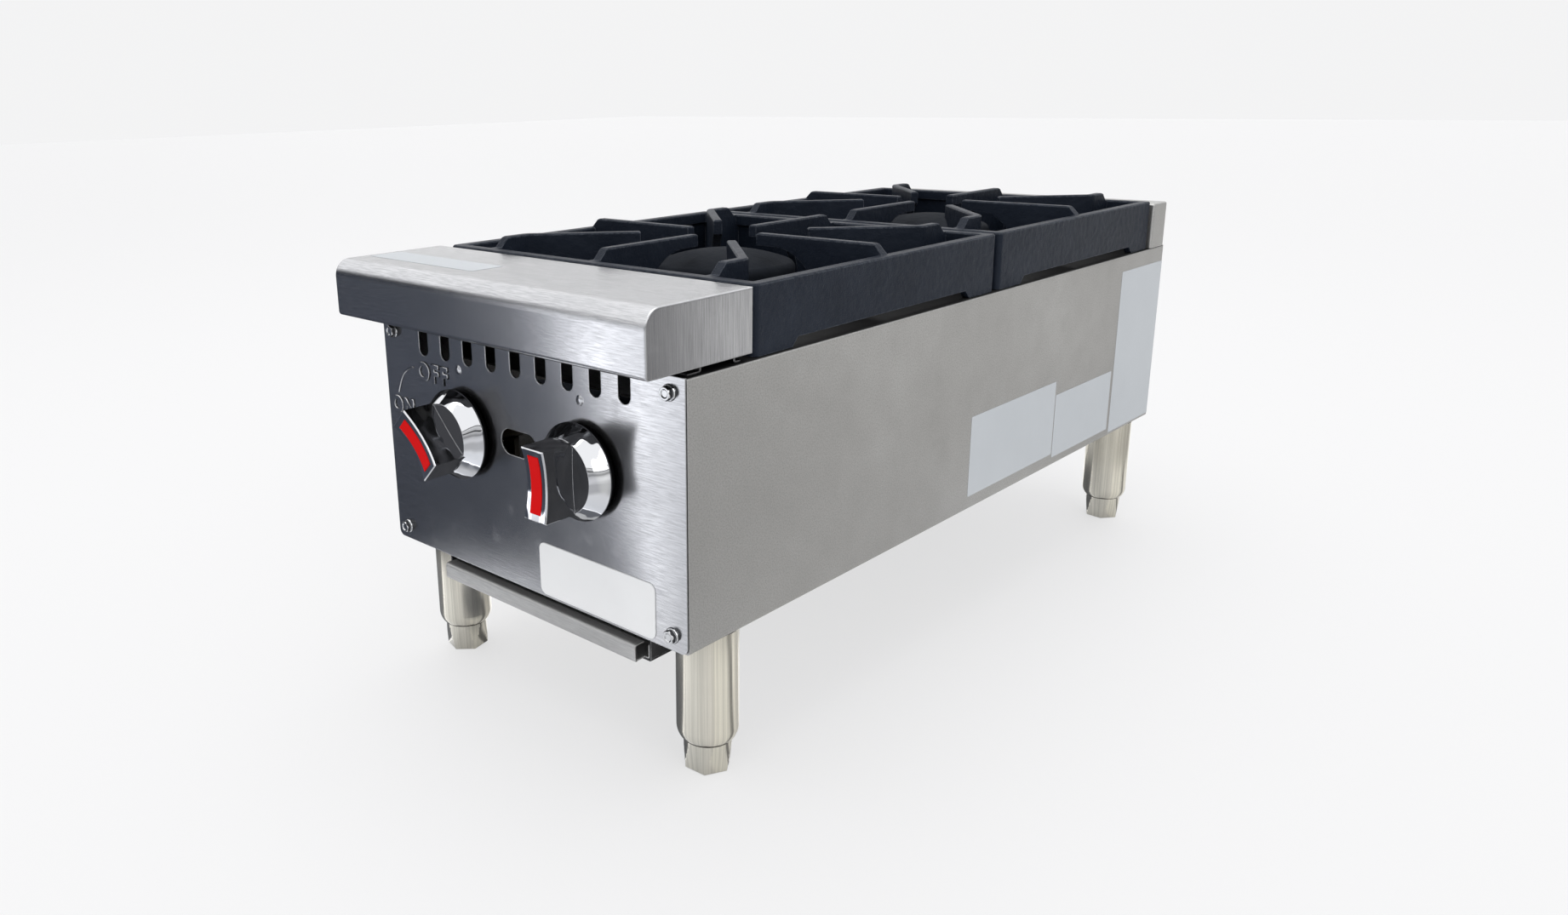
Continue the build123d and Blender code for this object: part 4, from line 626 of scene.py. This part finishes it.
class TurnedPiece:
    """A Geometry Nodes tree that turns a shape round Z and sets it at every given point."""

    def __init__(self, name, sizes):
        self.tree = bpy.data.node_groups.new(name, "GeometryNodeTree")
        make_socket = self.tree.interface.new_socket
        make_socket(name="Places", in_out="INPUT", socket_type="NodeSocketGeometry")
        self.identifiers = {}
        for label, (kind, value) in sizes.items():
            socket = make_socket(name=label, in_out="INPUT", socket_type=kind)
            socket.default_value = value
            self.identifiers[label] = socket.identifier
        material = make_socket(name="Finish", in_out="INPUT", socket_type="NodeSocketMaterial")
        self.identifiers["Finish"] = material.identifier
        make_socket(name="Geometry", in_out="OUTPUT", socket_type="NodeSocketGeometry")
        self.w = Wiring(self.tree)
        self.given = self.w.node("NodeGroupInput").outputs
        self.result = self.w.node("NodeGroupOutput").inputs["Geometry"]

    def times(self, label, factor, offset=0.0):
        """A named size times a factor, plus an offset."""
        return self.w.math("ADD", self.w.math("MULTIPLY", self.given[label], factor), offset)

    def turned(self, profile, sides, flats):
        """The grid round Z: each row's radius and height, and how near a hexagon's flats cut it."""
        w = self.w
        grid = w.node("GeometryNodeMeshGrid")
        grid.inputs["Vertices X"].default_value = len(profile)
        grid.inputs["Vertices Y"].default_value = sides + 1
        index = w.node("GeometryNodeInputIndex").outputs[0]
        row = w.math("FLOOR", w.math("DIVIDE", w.math("ADD", index, 0.5), sides + 1.0))
        step = w.math("SUBTRACT", index, w.math("MULTIPLY", row, sides + 1.0))
        angle = w.math("MULTIPLY", step, math.tau / sides)
        radius, height = (self.by_row(row, [line[column] for line in profile]) for column in (0, 1))
        wedge = w.node("ShaderNodeMath", operation="WRAP")
        for socket, value in zip(wedge.inputs, (angle, HALF_FLAT, -HALF_FLAT)):
            w.put(socket, value)
        reach = w.math("DIVIDE", self.by_row(row, flats), w.math("COSINE", wedge.outputs[0]))
        radius = w.math("MINIMUM", radius, reach)
        place = w.node("ShaderNodeCombineXYZ")
        w.put(place.inputs["X"], w.math("MULTIPLY", radius, w.math("COSINE", angle)))
        w.put(place.inputs["Y"], w.math("MULTIPLY", radius, w.math("SINE", angle)))
        w.put(place.inputs["Z"], height)
        moved = w.node("GeometryNodeSetPosition")
        w.put(moved.inputs["Geometry"], grid.outputs["Mesh"])
        w.put(moved.inputs["Position"], place.outputs[0])
        merged = w.node("GeometryNodeMergeByDistance")
        w.put(merged.inputs["Geometry"], moved.outputs[0])
        merged.inputs["Distance"].default_value = SAME_POINT
        return merged.outputs[0]

    def by_row(self, row, values):
        """Picks one value of a column by the row's number."""
        w = self.w
        pick = w.node("GeometryNodeIndexSwitch", data_type="FLOAT")
        while len(pick.index_switch_items) < len(values):
            pick.index_switch_items.new()
        w.put(pick.inputs["Index"], row)
        for socket, value in zip([s for s in pick.inputs if s.name.isdigit()], values):
            w.put(socket, value)
        return pick.outputs[0]

    def spiral(self, radius, pitch, length, bottom, crest, steps=20, facets=6):
        """A thread's ridge that winds up round Z, with its steps in each turn."""
        w = self.w
        coil = w.node("GeometryNodeCurveSpiral")
        coil.inputs["Resolution"].default_value = steps
        w.put(coil.inputs["Rotations"], w.math("DIVIDE", length, pitch))
        w.put(coil.inputs["Start Radius"], radius)
        w.put(coil.inputs["End Radius"], radius)
        w.put(coil.inputs["Height"], length)
        upright = w.node("GeometryNodeSetCurveNormal")
        upright.mode = "Z_UP"
        w.put(upright.inputs["Curve"], coil.outputs[0])
        ridge = w.node("GeometryNodeCurvePrimitiveCircle")
        ridge.inputs["Resolution"].default_value = facets
        w.put(ridge.inputs["Radius"], crest)
        swept = w.node("GeometryNodeCurveToMesh")
        w.put(swept.inputs["Curve"], upright.outputs[0])
        w.put(swept.inputs["Profile Curve"], ridge.outputs[0])
        swept.inputs["Fill Caps"].default_value = True
        raised = w.node("GeometryNodeTransform")
        w.put(raised.inputs["Geometry"], swept.outputs[0])
        lift = w.node("ShaderNodeCombineXYZ")
        w.put(lift.inputs["Z"], bottom)
        w.put(raised.inputs["Translation"], lift.outputs[0])
        return raised.outputs[0]

    def joined(self, *meshes):
        made = self.w.node("GeometryNodeJoinGeometry")
        for mesh in meshes:
            self.w.put(made.inputs[0], mesh)
        return made.outputs[0]

    def set_out(self, mesh):
        """A copy at each place, leaned to its face, turned by chance, made real and given its finish."""
        w = self.w
        copies = w.node("GeometryNodeInstanceOnPoints")
        w.put(copies.inputs["Points"], self.given["Places"])
        w.put(copies.inputs["Instance"], mesh)
        w.put(copies.inputs["Rotation"], self.given["Lean"])
        chance = w.node("FunctionNodeRandomValue", data_type="FLOAT")
        for socket in [s for s in chance.inputs if s.enabled]:
            if socket.name == "Max":
                w.put(socket, self.given["Spin"])
            if socket.name == "Seed":
                w.put(socket, self.given["Seed"])
        axis = w.node("ShaderNodeCombineXYZ")
        w.put(axis.inputs["Z"], [s for s in chance.outputs if s.enabled][0])
        spun = w.node("GeometryNodeRotateInstances")
        w.put(spun.inputs["Instances"], copies.outputs[0])
        w.put(spun.inputs["Rotation"], axis.outputs[0])
        real = w.node("GeometryNodeRealizeInstances")
        w.put(real.inputs[0], spun.outputs[0])
        finish = w.node("GeometryNodeSetMaterial")
        w.put(finish.inputs["Geometry"], real.outputs[0])
        w.put(finish.inputs["Material"], self.given["Finish"])
        w.put(self.result, finish.outputs[0])

    def make(self, name, places, body, slot, **values):
        """Sets the sizes, evaluates the tree once and keeps a plain closed mesh."""
        points = bpy.data.meshes.new(name + "_places")
        points.from_pydata([tuple(place) for place in places], [], [])
        holder = bpy.data.objects.new(name, points)
        bpy.context.scene.collection.objects.link(holder)
        modifier = holder.modifiers.new(name, "NODES")
        modifier.node_group = self.tree
        modifier[self.identifiers["Finish"]] = finishes[slot]
        for label, value in values.items():
            modifier[self.identifiers[label.replace("_", " ")]] = value
        mesh = evaluated_mesh(holder)
        holder.modifiers.remove(modifier)
        bpy.data.objects.remove(holder)
        bpy.data.meshes.remove(points)
        bm = bmesh.new()
        bm.from_mesh(mesh)
        bmesh.ops.recalc_face_normals(bm, faces=bm.faces)
        bm.to_mesh(mesh)
        bm.free()
        return new_piece(name, mesh, finishes[slot], body)


SCATTER = {"Lean": (TRIPLE, (0.0, 0.0, 0.0)), "Spin": (NUMBER, 0.0), "Seed": ("NodeSocketInt", 4)}

# A row that the hexagon leaves round: its flats would lie this far out, in metres
ROUND_ROW = 1.0


def make_screw_tree():
    """A hex washer-head screw: shank, washer, chamfered hexagon and dished top."""
    screw = TurnedPiece("hex_washer_screw", {
        "Shank": (NUMBER, 2.0 * MM), "Length": (NUMBER, 10.0 * MM),
        "Washer": (NUMBER, 5.2 * MM), "Washer Height": (NUMBER, 1.1 * MM),
        "Flats": (NUMBER, 7.9 * MM), "Head": (NUMBER, 4.3 * MM), **SCATTER})
    size = screw.times
    tip = 1.5 * MM
    shank_and_washer = [
        (0.0, size("Length", -1.0)),
        (size("Shank", 0.5), size("Length", -1.0)),
        (size("Shank", 1.0), size("Length", -1.0, tip)),
        (size("Shank", 1.0), 0.0),
        (size("Washer", 0.96), 0.0),
        (size("Washer", 1.0), size("Washer Height", 0.4)),
        (size("Washer", 0.93), size("Washer Height", 1.0)),
    ]
    hexagon = [
        (size("Flats", 0.64), size("Washer Height", 1.05)),
        (size("Flats", 0.64), size("Head", 0.84)),
    ]
    dished_top = [
        (size("Flats", 0.49), size("Head", 1.0)),
        (size("Flats", 0.36), size("Head", 1.0)),
        (size("Flats", 0.27), size("Head", 0.84)),
        (0.0, size("Head", 0.84)),
    ]
    flats = [ROUND_ROW] * len(shank_and_washer)
    flats += [size("Flats", 0.5)] * len(hexagon)
    flats += [ROUND_ROW] * len(dished_top)
    screw.set_out(screw.turned(shank_and_washer + hexagon + dished_top, 36, flats))
    return screw


def make_foot_tree():
    """An adjustable foot: a collar with six tapering flats under a threaded stem."""
    foot = TurnedPiece("adjustable_foot", {
        "Collar": (NUMBER, 15.9 * MM), "Collar Height": (NUMBER, 20.8 * MM),
        "Flats Low": (NUMBER, 27.2 * MM), "Flats High": (NUMBER, 32.4 * MM),
        "Stem": (NUMBER, 8.0 * MM), "Stem Length": (NUMBER, 56.0 * MM),
        "Pitch": (NUMBER, 2.0 * MM), "Thread Depth": (NUMBER, 0.55 * MM), **SCATTER})
    size, given, w = foot.times, foot.given, foot.w
    bottom_chamfer, stem_chamfer = 0.4 * MM, 1.0 * MM
    thread_start, unthreaded = 1.0 * MM, 4.0 * MM
    core = w.math("SUBTRACT", given["Stem"], given["Thread Depth"])
    top = w.math("ADD", given["Collar Height"], given["Stem Length"])
    rise = w.math("SUBTRACT", size("Flats High", 0.5), size("Flats Low", 0.5))
    profile = [(0.0, 0.0), (size("Collar", 0.75), 0.0)]
    flats = [ROUND_ROW] * len(profile)
    for level in (0.0, 0.03, 0.12, 0.25, 0.40, 0.55, 0.70, 0.85, 1.0):
        edge = -bottom_chamfer if level == 0.0 else 0.0
        half_width = w.math("ADD", w.math("MULTIPLY", rise, level), size("Flats Low", 0.5))
        profile.append((size("Collar", 1.0, edge), size("Collar Height", level)))
        flats.append(w.math("ADD", half_width, edge))
    stem = [
        (core, size("Collar Height", 1.0)),
        (core, w.math("SUBTRACT", top, stem_chamfer)),
        (w.math("SUBTRACT", core, stem_chamfer), top),
        (0.0, top),
    ]
    flats += [ROUND_ROW] * len(stem)
    thread = foot.spiral(
        radius=core, pitch=given["Pitch"], length=w.math("SUBTRACT", given["Stem Length"], unthreaded),
        bottom=size("Collar Height", 1.0, thread_start), crest=given["Thread Depth"])
    foot.set_out(foot.joined(foot.turned(profile + stem, 72, flats), thread))
    return foot


screw_tree = make_screw_tree()
SCREW_INSET = 5.2 * MM
PANEL_SCREWS = (("front_panel_screws", FRONT_Y, 1), ("rear_panel_screws", FRONT_Y + BODY_LENGTH, -1))
for node, face, outward in PANEL_SCREWS:
    low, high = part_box(node)
    columns = (low.x + SCREW_INSET, high.x - SCREW_INSET)
    rows = (low.z + SCREW_INSET, high.z - SCREW_INSET)
    places = [(x, face, z) for x in columns for z in rows]
    screws = screw_tree.make(node + "_turned", places, "body", "screw_metal",
                             Lean=(outward * math.pi / 2, 0.0, 0.0), Spin=1.0, Seed=4)
    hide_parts(node)

foot_tree = make_foot_tree()
# How far each foot was left turned, in degrees
FOOT_TURNS = {"foot_front_left": 14, "foot_front_right": 33, "foot_rear_left": 5, "foot_rear_right": 22}
for node, turn in FOOT_TURNS.items():
    place = (*middle_of(node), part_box(node)[0].z)
    turned_foot = foot_tree.make(node + "_turned", [place], node, "foot_metal",
                                 Lean=(0.0, 0.0, math.radians(turn)), Spin=0.0)
    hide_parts(node)

# Raised marks beside the left knob: a letter's height in its font's size, and how the press rounded it
CAPITAL_SHARE = 0.73
WORD_RELIEF = 0.6 * MM
WORD_ROUNDING = 0.4 * MM


def raised_word(name, word, x, z, height, spacing):
    """A word pressed out of the front panel, with its letters' height in millimetres."""
    curve = bpy.data.curves.new(name, "FONT")
    curve.body = word
    curve.size = height * MM / CAPITAL_SHARE
    curve.align_x = "CENTER"
    curve.align_y = "CENTER"
    curve.space_character = spacing
    curve.offset = WORD_RELIEF
    curve.extrude = WORD_RELIEF
    curve.bevel_depth = WORD_ROUNDING
    curve.bevel_resolution = 2
    mesh = mesh_of_curve(name, curve)
    mesh.transform(on_front(x, z))
    return new_piece(name, mesh, finishes["stainless_front"])


def raised_ridge(name, points, width):
    """A low rounded ridge that follows points on the front panel, in millimetres."""
    curve = bpy.data.curves.new(name, "CURVE")
    curve.dimensions = "3D"
    curve.bevel_depth = width / 2 * MM
    curve.bevel_resolution = 3
    curve.use_fill_caps = True
    spline = curve.splines.new("NURBS")
    spline.points.add(len(points) - 1)
    for point, (x, z) in zip(spline.points, points):
        point.co = (x * MM, FRONT_Y, UNDERSIDE + z * MM, 1.0)
    spline.order_u = 3
    spline.use_endpoint_u = True
    return new_piece(name, mesh_of_curve(name, curve), finishes["stainless_front"])


raised_word("mark_off", "OFF", x=-92, z=136, height=13, spacing=1.25)
raised_word("mark_on", "ON", x=-131, z=106, height=12, spacing=1.15)
raised_ridge("mark_arc", [(-115, 138), (-124, 135), (-131, 128), (-136, 116)], width=1.6)

# The cards' edges in degrees from the front, to the right, and their tones
DARK = (0.030, 0.036, 0.052)
CARDS = [
    (-122, WHITE),
    (-112, DARK),
    (-49.8, DARK),
    (-48.7, (0.38, 0.39, 0.43)),
    (-47.7, (1.38, 1.39, 1.44)),
    (-46.7, (1.30, 1.31, 1.35)),
    (-45.2, (0.64, 0.65, 0.675)),
    (-41, (0.52, 0.53, 0.56)),
    (-12, (0.43, 0.44, 0.46)),
    (0, (0.40, 0.41, 0.43)),
    (58, (0.34, 0.34, 0.35)),
    (66, (0.44, 0.44, 0.435)),
    (117, (0.46, 0.46, 0.455)),
    (123, (0.05, 0.05, 0.055)),
    (135, (0.05, 0.05, 0.055)),
    (140, (0.60, 0.595, 0.587)),
    (156, (0.40, 0.397, 0.391)),
    (174, (0.34, 0.337, 0.332)),
]
CARD_CENTRE = Vector((0.144, FRONT_Y, 0.0))
# Dark shelves above the horizon: height of the sight line, and what is left of the light
SHELVES = [
    (0.15, 1.0), (0.16, 0.10), (0.20, 0.10), (0.21, 1.0),
    (0.30, 1.0), (0.31, 0.15), (0.33, 0.15), (0.34, 1.0),
]
# The sight lines' heights between which the cards give way to the white room
LOW_SKY = (0.05, 0.14)
HIGH_SKY = (0.22, 0.34)
SKY_SHIFT = (0.01, 0.0, 0.0)
ROOM_IN_METAL = (1.15, 1.15, 1.16)
ROOM_IN_CAMERA = (0.90, 0.90, 0.905)
TWICE_MIRRORED = (0.08, 0.08, 0.085)
SECOND_MIRROR = 1.5

FLOOR_HALF_SIZE = 12.0
FLOOR_TONE = (0.26, 0.26, 0.262)
FLOOR_GLOW = (0.60, 0.60, 0.603)
FLOOR_GLOW_IN_METAL = (0.35, 0.35, 0.35)
# Floor close to the body, in its shade, and far from it, where the cards brighten
SHADED_FLOOR = (0.60, 0.60, 0.60)
SHADE_REACH, SHADE_FULL = 0.21, 0.05
FAR_FLOOR_START, FAR_FLOOR_FULL = 0.45, 0.80
FAR_FLOOR_GAIN = 1.45
# Floor round a leg, striped by the cards for that leg alone
LEG_STRIPES_REACH, LEG_STRIPES_FULL = 0.22, 0.17
LEG_STRIPES_GAIN = 1.5
LEG_PALE_SHARE = 0.12
LEG_PALE = (0.95, 0.95, 0.95)


# Floor, light and camera
def make_room_cards():
    """Light and dark cards that stand round the front panel, seen only in the metal."""
    tree, w, given, out = shared_effect(
        "room_cards", [("Direction", TRIPLE, (0.0, -1.0, 0.0))], [("Tone", TINT)])
    way = w.apart(given["Direction"])
    turn = w.math("ARCTAN2", way["X"], w.math("MULTIPLY", way["Y"], -1.0))
    steps = [((degrees + 180.0) / 360.0, tone) for degrees, tone in CARDS]
    w.put(out["Tone"], w.ramp(w.spread(turn, -math.pi, math.pi), steps))
    return tree


ROOM_CARDS = make_room_cards()


def cards_towards(w, direction):
    return effect(w, ROOM_CARDS, Direction=direction)["Tone"]


def darker_if_twice_mirrored(w, path, tone):
    """Cards fade in a reflection of a reflection, as polished parts darken each other."""
    second = w.math("GREATER_THAN", path["Glossy Depth"], SECOND_MIRROR)
    return w.blend(second, tone, w.blend(1.0, tone, tint(TWICE_MIRRORED), "MULTIPLY"))


def make_floor():
    """A pale floor, which the metal sees with the cards' tones."""
    bm = bmesh.new()
    bmesh.ops.create_grid(bm, x_segments=2, y_segments=2, size=FLOOR_HALF_SIZE)
    mesh = bpy.data.meshes.new("floor")
    bm.to_mesh(mesh)
    bm.free()
    floor = bpy.data.objects.new("floor", mesh)
    bpy.context.scene.collection.objects.link(floor)
    material, w, s = finish_material("floor_pale", FLOOR_TONE, Roughness=0.7, Emission_Strength=1.0)
    place = w.object_place()
    beside = w.vector("SUBTRACT", w.vector("ABSOLUTE", place), (SIDE_X, BODY_LENGTH / 2, 0.0))
    gap = w.vector("LENGTH", w.vector("MAXIMUM", beside, (0.0, 0.0, 0.0)))
    shade = w.spread(gap, SHADE_REACH, SHADE_FULL)
    far = w.spread(gap, FAR_FLOOR_START, FAR_FLOOR_FULL)
    tone = cards_towards(w, w.vector("SUBTRACT", place, CARD_CENTRE))
    tone = w.blend(far, tone, w.brighter(tone, FAR_FLOOR_GAIN))
    tone = w.blend(shade, tone, tint(SHADED_FLOOR))
    for axis in LEG_AXES:
        away = w.vector("SUBTRACT", place, (*axis, 0.0))
        stripes = w.brighter(cards_towards(w, away), LEG_STRIPES_GAIN)
        stripes = w.blend(LEG_PALE_SHARE, stripes, tint(LEG_PALE))
        beside_leg = w.spread(w.vector("LENGTH", away), LEG_STRIPES_REACH, LEG_STRIPES_FULL)
        tone = w.blend(beside_leg, tone, stripes)
    path = w.node("ShaderNodeLightPath").outputs
    mirrored = path["Is Glossy Ray"]
    tone = darker_if_twice_mirrored(w, path, tone)
    w.put(s["Base Color"], w.blend(mirrored, tint(FLOOR_TONE), tone))
    lit = w.blend(1.0, tone, tint(FLOOR_GLOW_IN_METAL), "MULTIPLY")
    w.put(s["Emission Color"], w.blend(mirrored, tint(FLOOR_GLOW), lit))
    mesh.materials.append(material)


def make_room():
    """A white room; between the floor and the ceiling the metal sees the cards."""
    world = bpy.data.worlds.new("room")
    bpy.context.scene.world = world
    world.use_nodes = True
    world.node_tree.nodes.clear()
    w = Wiring(world.node_tree)
    direction = w.node("ShaderNodeTexCoord").outputs["Generated"]
    cards = cards_towards(w, w.vector("ADD", direction, SKY_SHIFT))
    level = w.apart(direction)["Z"]
    brightness = w.spread(w.apart(cards)["X"], 0.1, 0.8)
    low_sky = w.math("MULTIPLY", w.spread(level, *LOW_SKY), brightness)
    sky = w.math("MAXIMUM", w.spread(level, *HIGH_SKY), low_sky)
    tone = w.blend(sky, cards, tint(ROOM_IN_METAL))
    shelves = w.ramp(level, [(place, (left, left, left)) for place, left in SHELVES])
    tone = w.blend(1.0, tone, shelves, "MULTIPLY")
    path = w.node("ShaderNodeLightPath").outputs
    tone = darker_if_twice_mirrored(w, path, tone)
    tone = w.blend(path["Is Glossy Ray"], tint(ROOM_IN_CAMERA), tone)
    background = w.node("ShaderNodeBackground")
    w.put(background.inputs["Color"], tone)
    background.inputs["Strength"].default_value = 1.0
    output = w.node("ShaderNodeOutputWorld")
    w.put(output.inputs["Surface"], background.outputs[0])


def soft_light(name, place, size, power):
    """A wide flat lamp that shines on the middle of the hot plate."""
    aim = Vector((0.0, 0.0, 0.2))
    data = bpy.data.lights.new(name, "AREA")
    data.shape = "RECTANGLE"
    data.size, data.size_y = size
    data.energy = power
    lamp = bpy.data.objects.new(name, data)
    lamp.location = place
    lamp.rotation_mode = "QUATERNION"
    lamp.rotation_quaternion = (aim - Vector(place)).to_track_quat("-Z", "Y")
    bpy.context.scene.collection.objects.link(lamp)


# The photograph's frame and the camera's centre line, in pixels, and how the camera stood
PHOTO_WIDTH, PHOTO_HEIGHT = 1842, 1075
CENTRE_ACROSS, CENTRE_DOWN = 759.85, 483.38
FOCAL_PIXELS = 1351.77
SENSOR_WIDTH = 36.0
CAMERA_PLACE = (0.56997, FRONT_Y - 0.46103, UNDERSIDE + 0.32960)
CAMERA_AZIMUTH, CAMERA_ELEVATION, CAMERA_ROLL = (math.radians(angle) for angle in (44.35, 15.77, -1.12))


def make_camera():
    """A camera placed, turned and framed as for the photograph."""
    data = bpy.data.cameras.new("photo_camera")
    data.sensor_width = SENSOR_WIDTH
    data.lens = FOCAL_PIXELS / PHOTO_WIDTH * SENSOR_WIDTH
    data.shift_x = (PHOTO_WIDTH / 2 - CENTRE_ACROSS) / PHOTO_WIDTH
    data.shift_y = (CENTRE_DOWN - PHOTO_HEIGHT / 2) / PHOTO_WIDTH
    data.clip_start, data.clip_end = 0.05, 50.0
    camera = bpy.data.objects.new("photo_camera", data)
    bpy.context.scene.collection.objects.link(camera)
    level = math.cos(CAMERA_ELEVATION)
    back = Vector((
        math.sin(CAMERA_AZIMUTH) * level, -math.cos(CAMERA_AZIMUTH) * level, math.sin(CAMERA_ELEVATION)))
    right = (-back).cross(Vector(UPRIGHT)).normalized()
    up = right.cross(-back)
    turned_right = math.cos(CAMERA_ROLL) * right + math.sin(CAMERA_ROLL) * up
    turned_up = math.cos(CAMERA_ROLL) * up - math.sin(CAMERA_ROLL) * right
    facing = Matrix((turned_right, turned_up, back)).transposed().to_4x4()
    camera.matrix_world = Matrix.Translation(CAMERA_PLACE) @ facing
    bpy.context.scene.camera = camera


make_floor()
make_room()
soft_light("ceiling_softbox", place=(-0.3, -0.2, 2.4), size=(2.0, 2.0), power=18.0)
soft_light("right_softbox", place=(2.2, -1.0, 1.4), size=(1.2, 1.6), power=8.0)
make_camera()
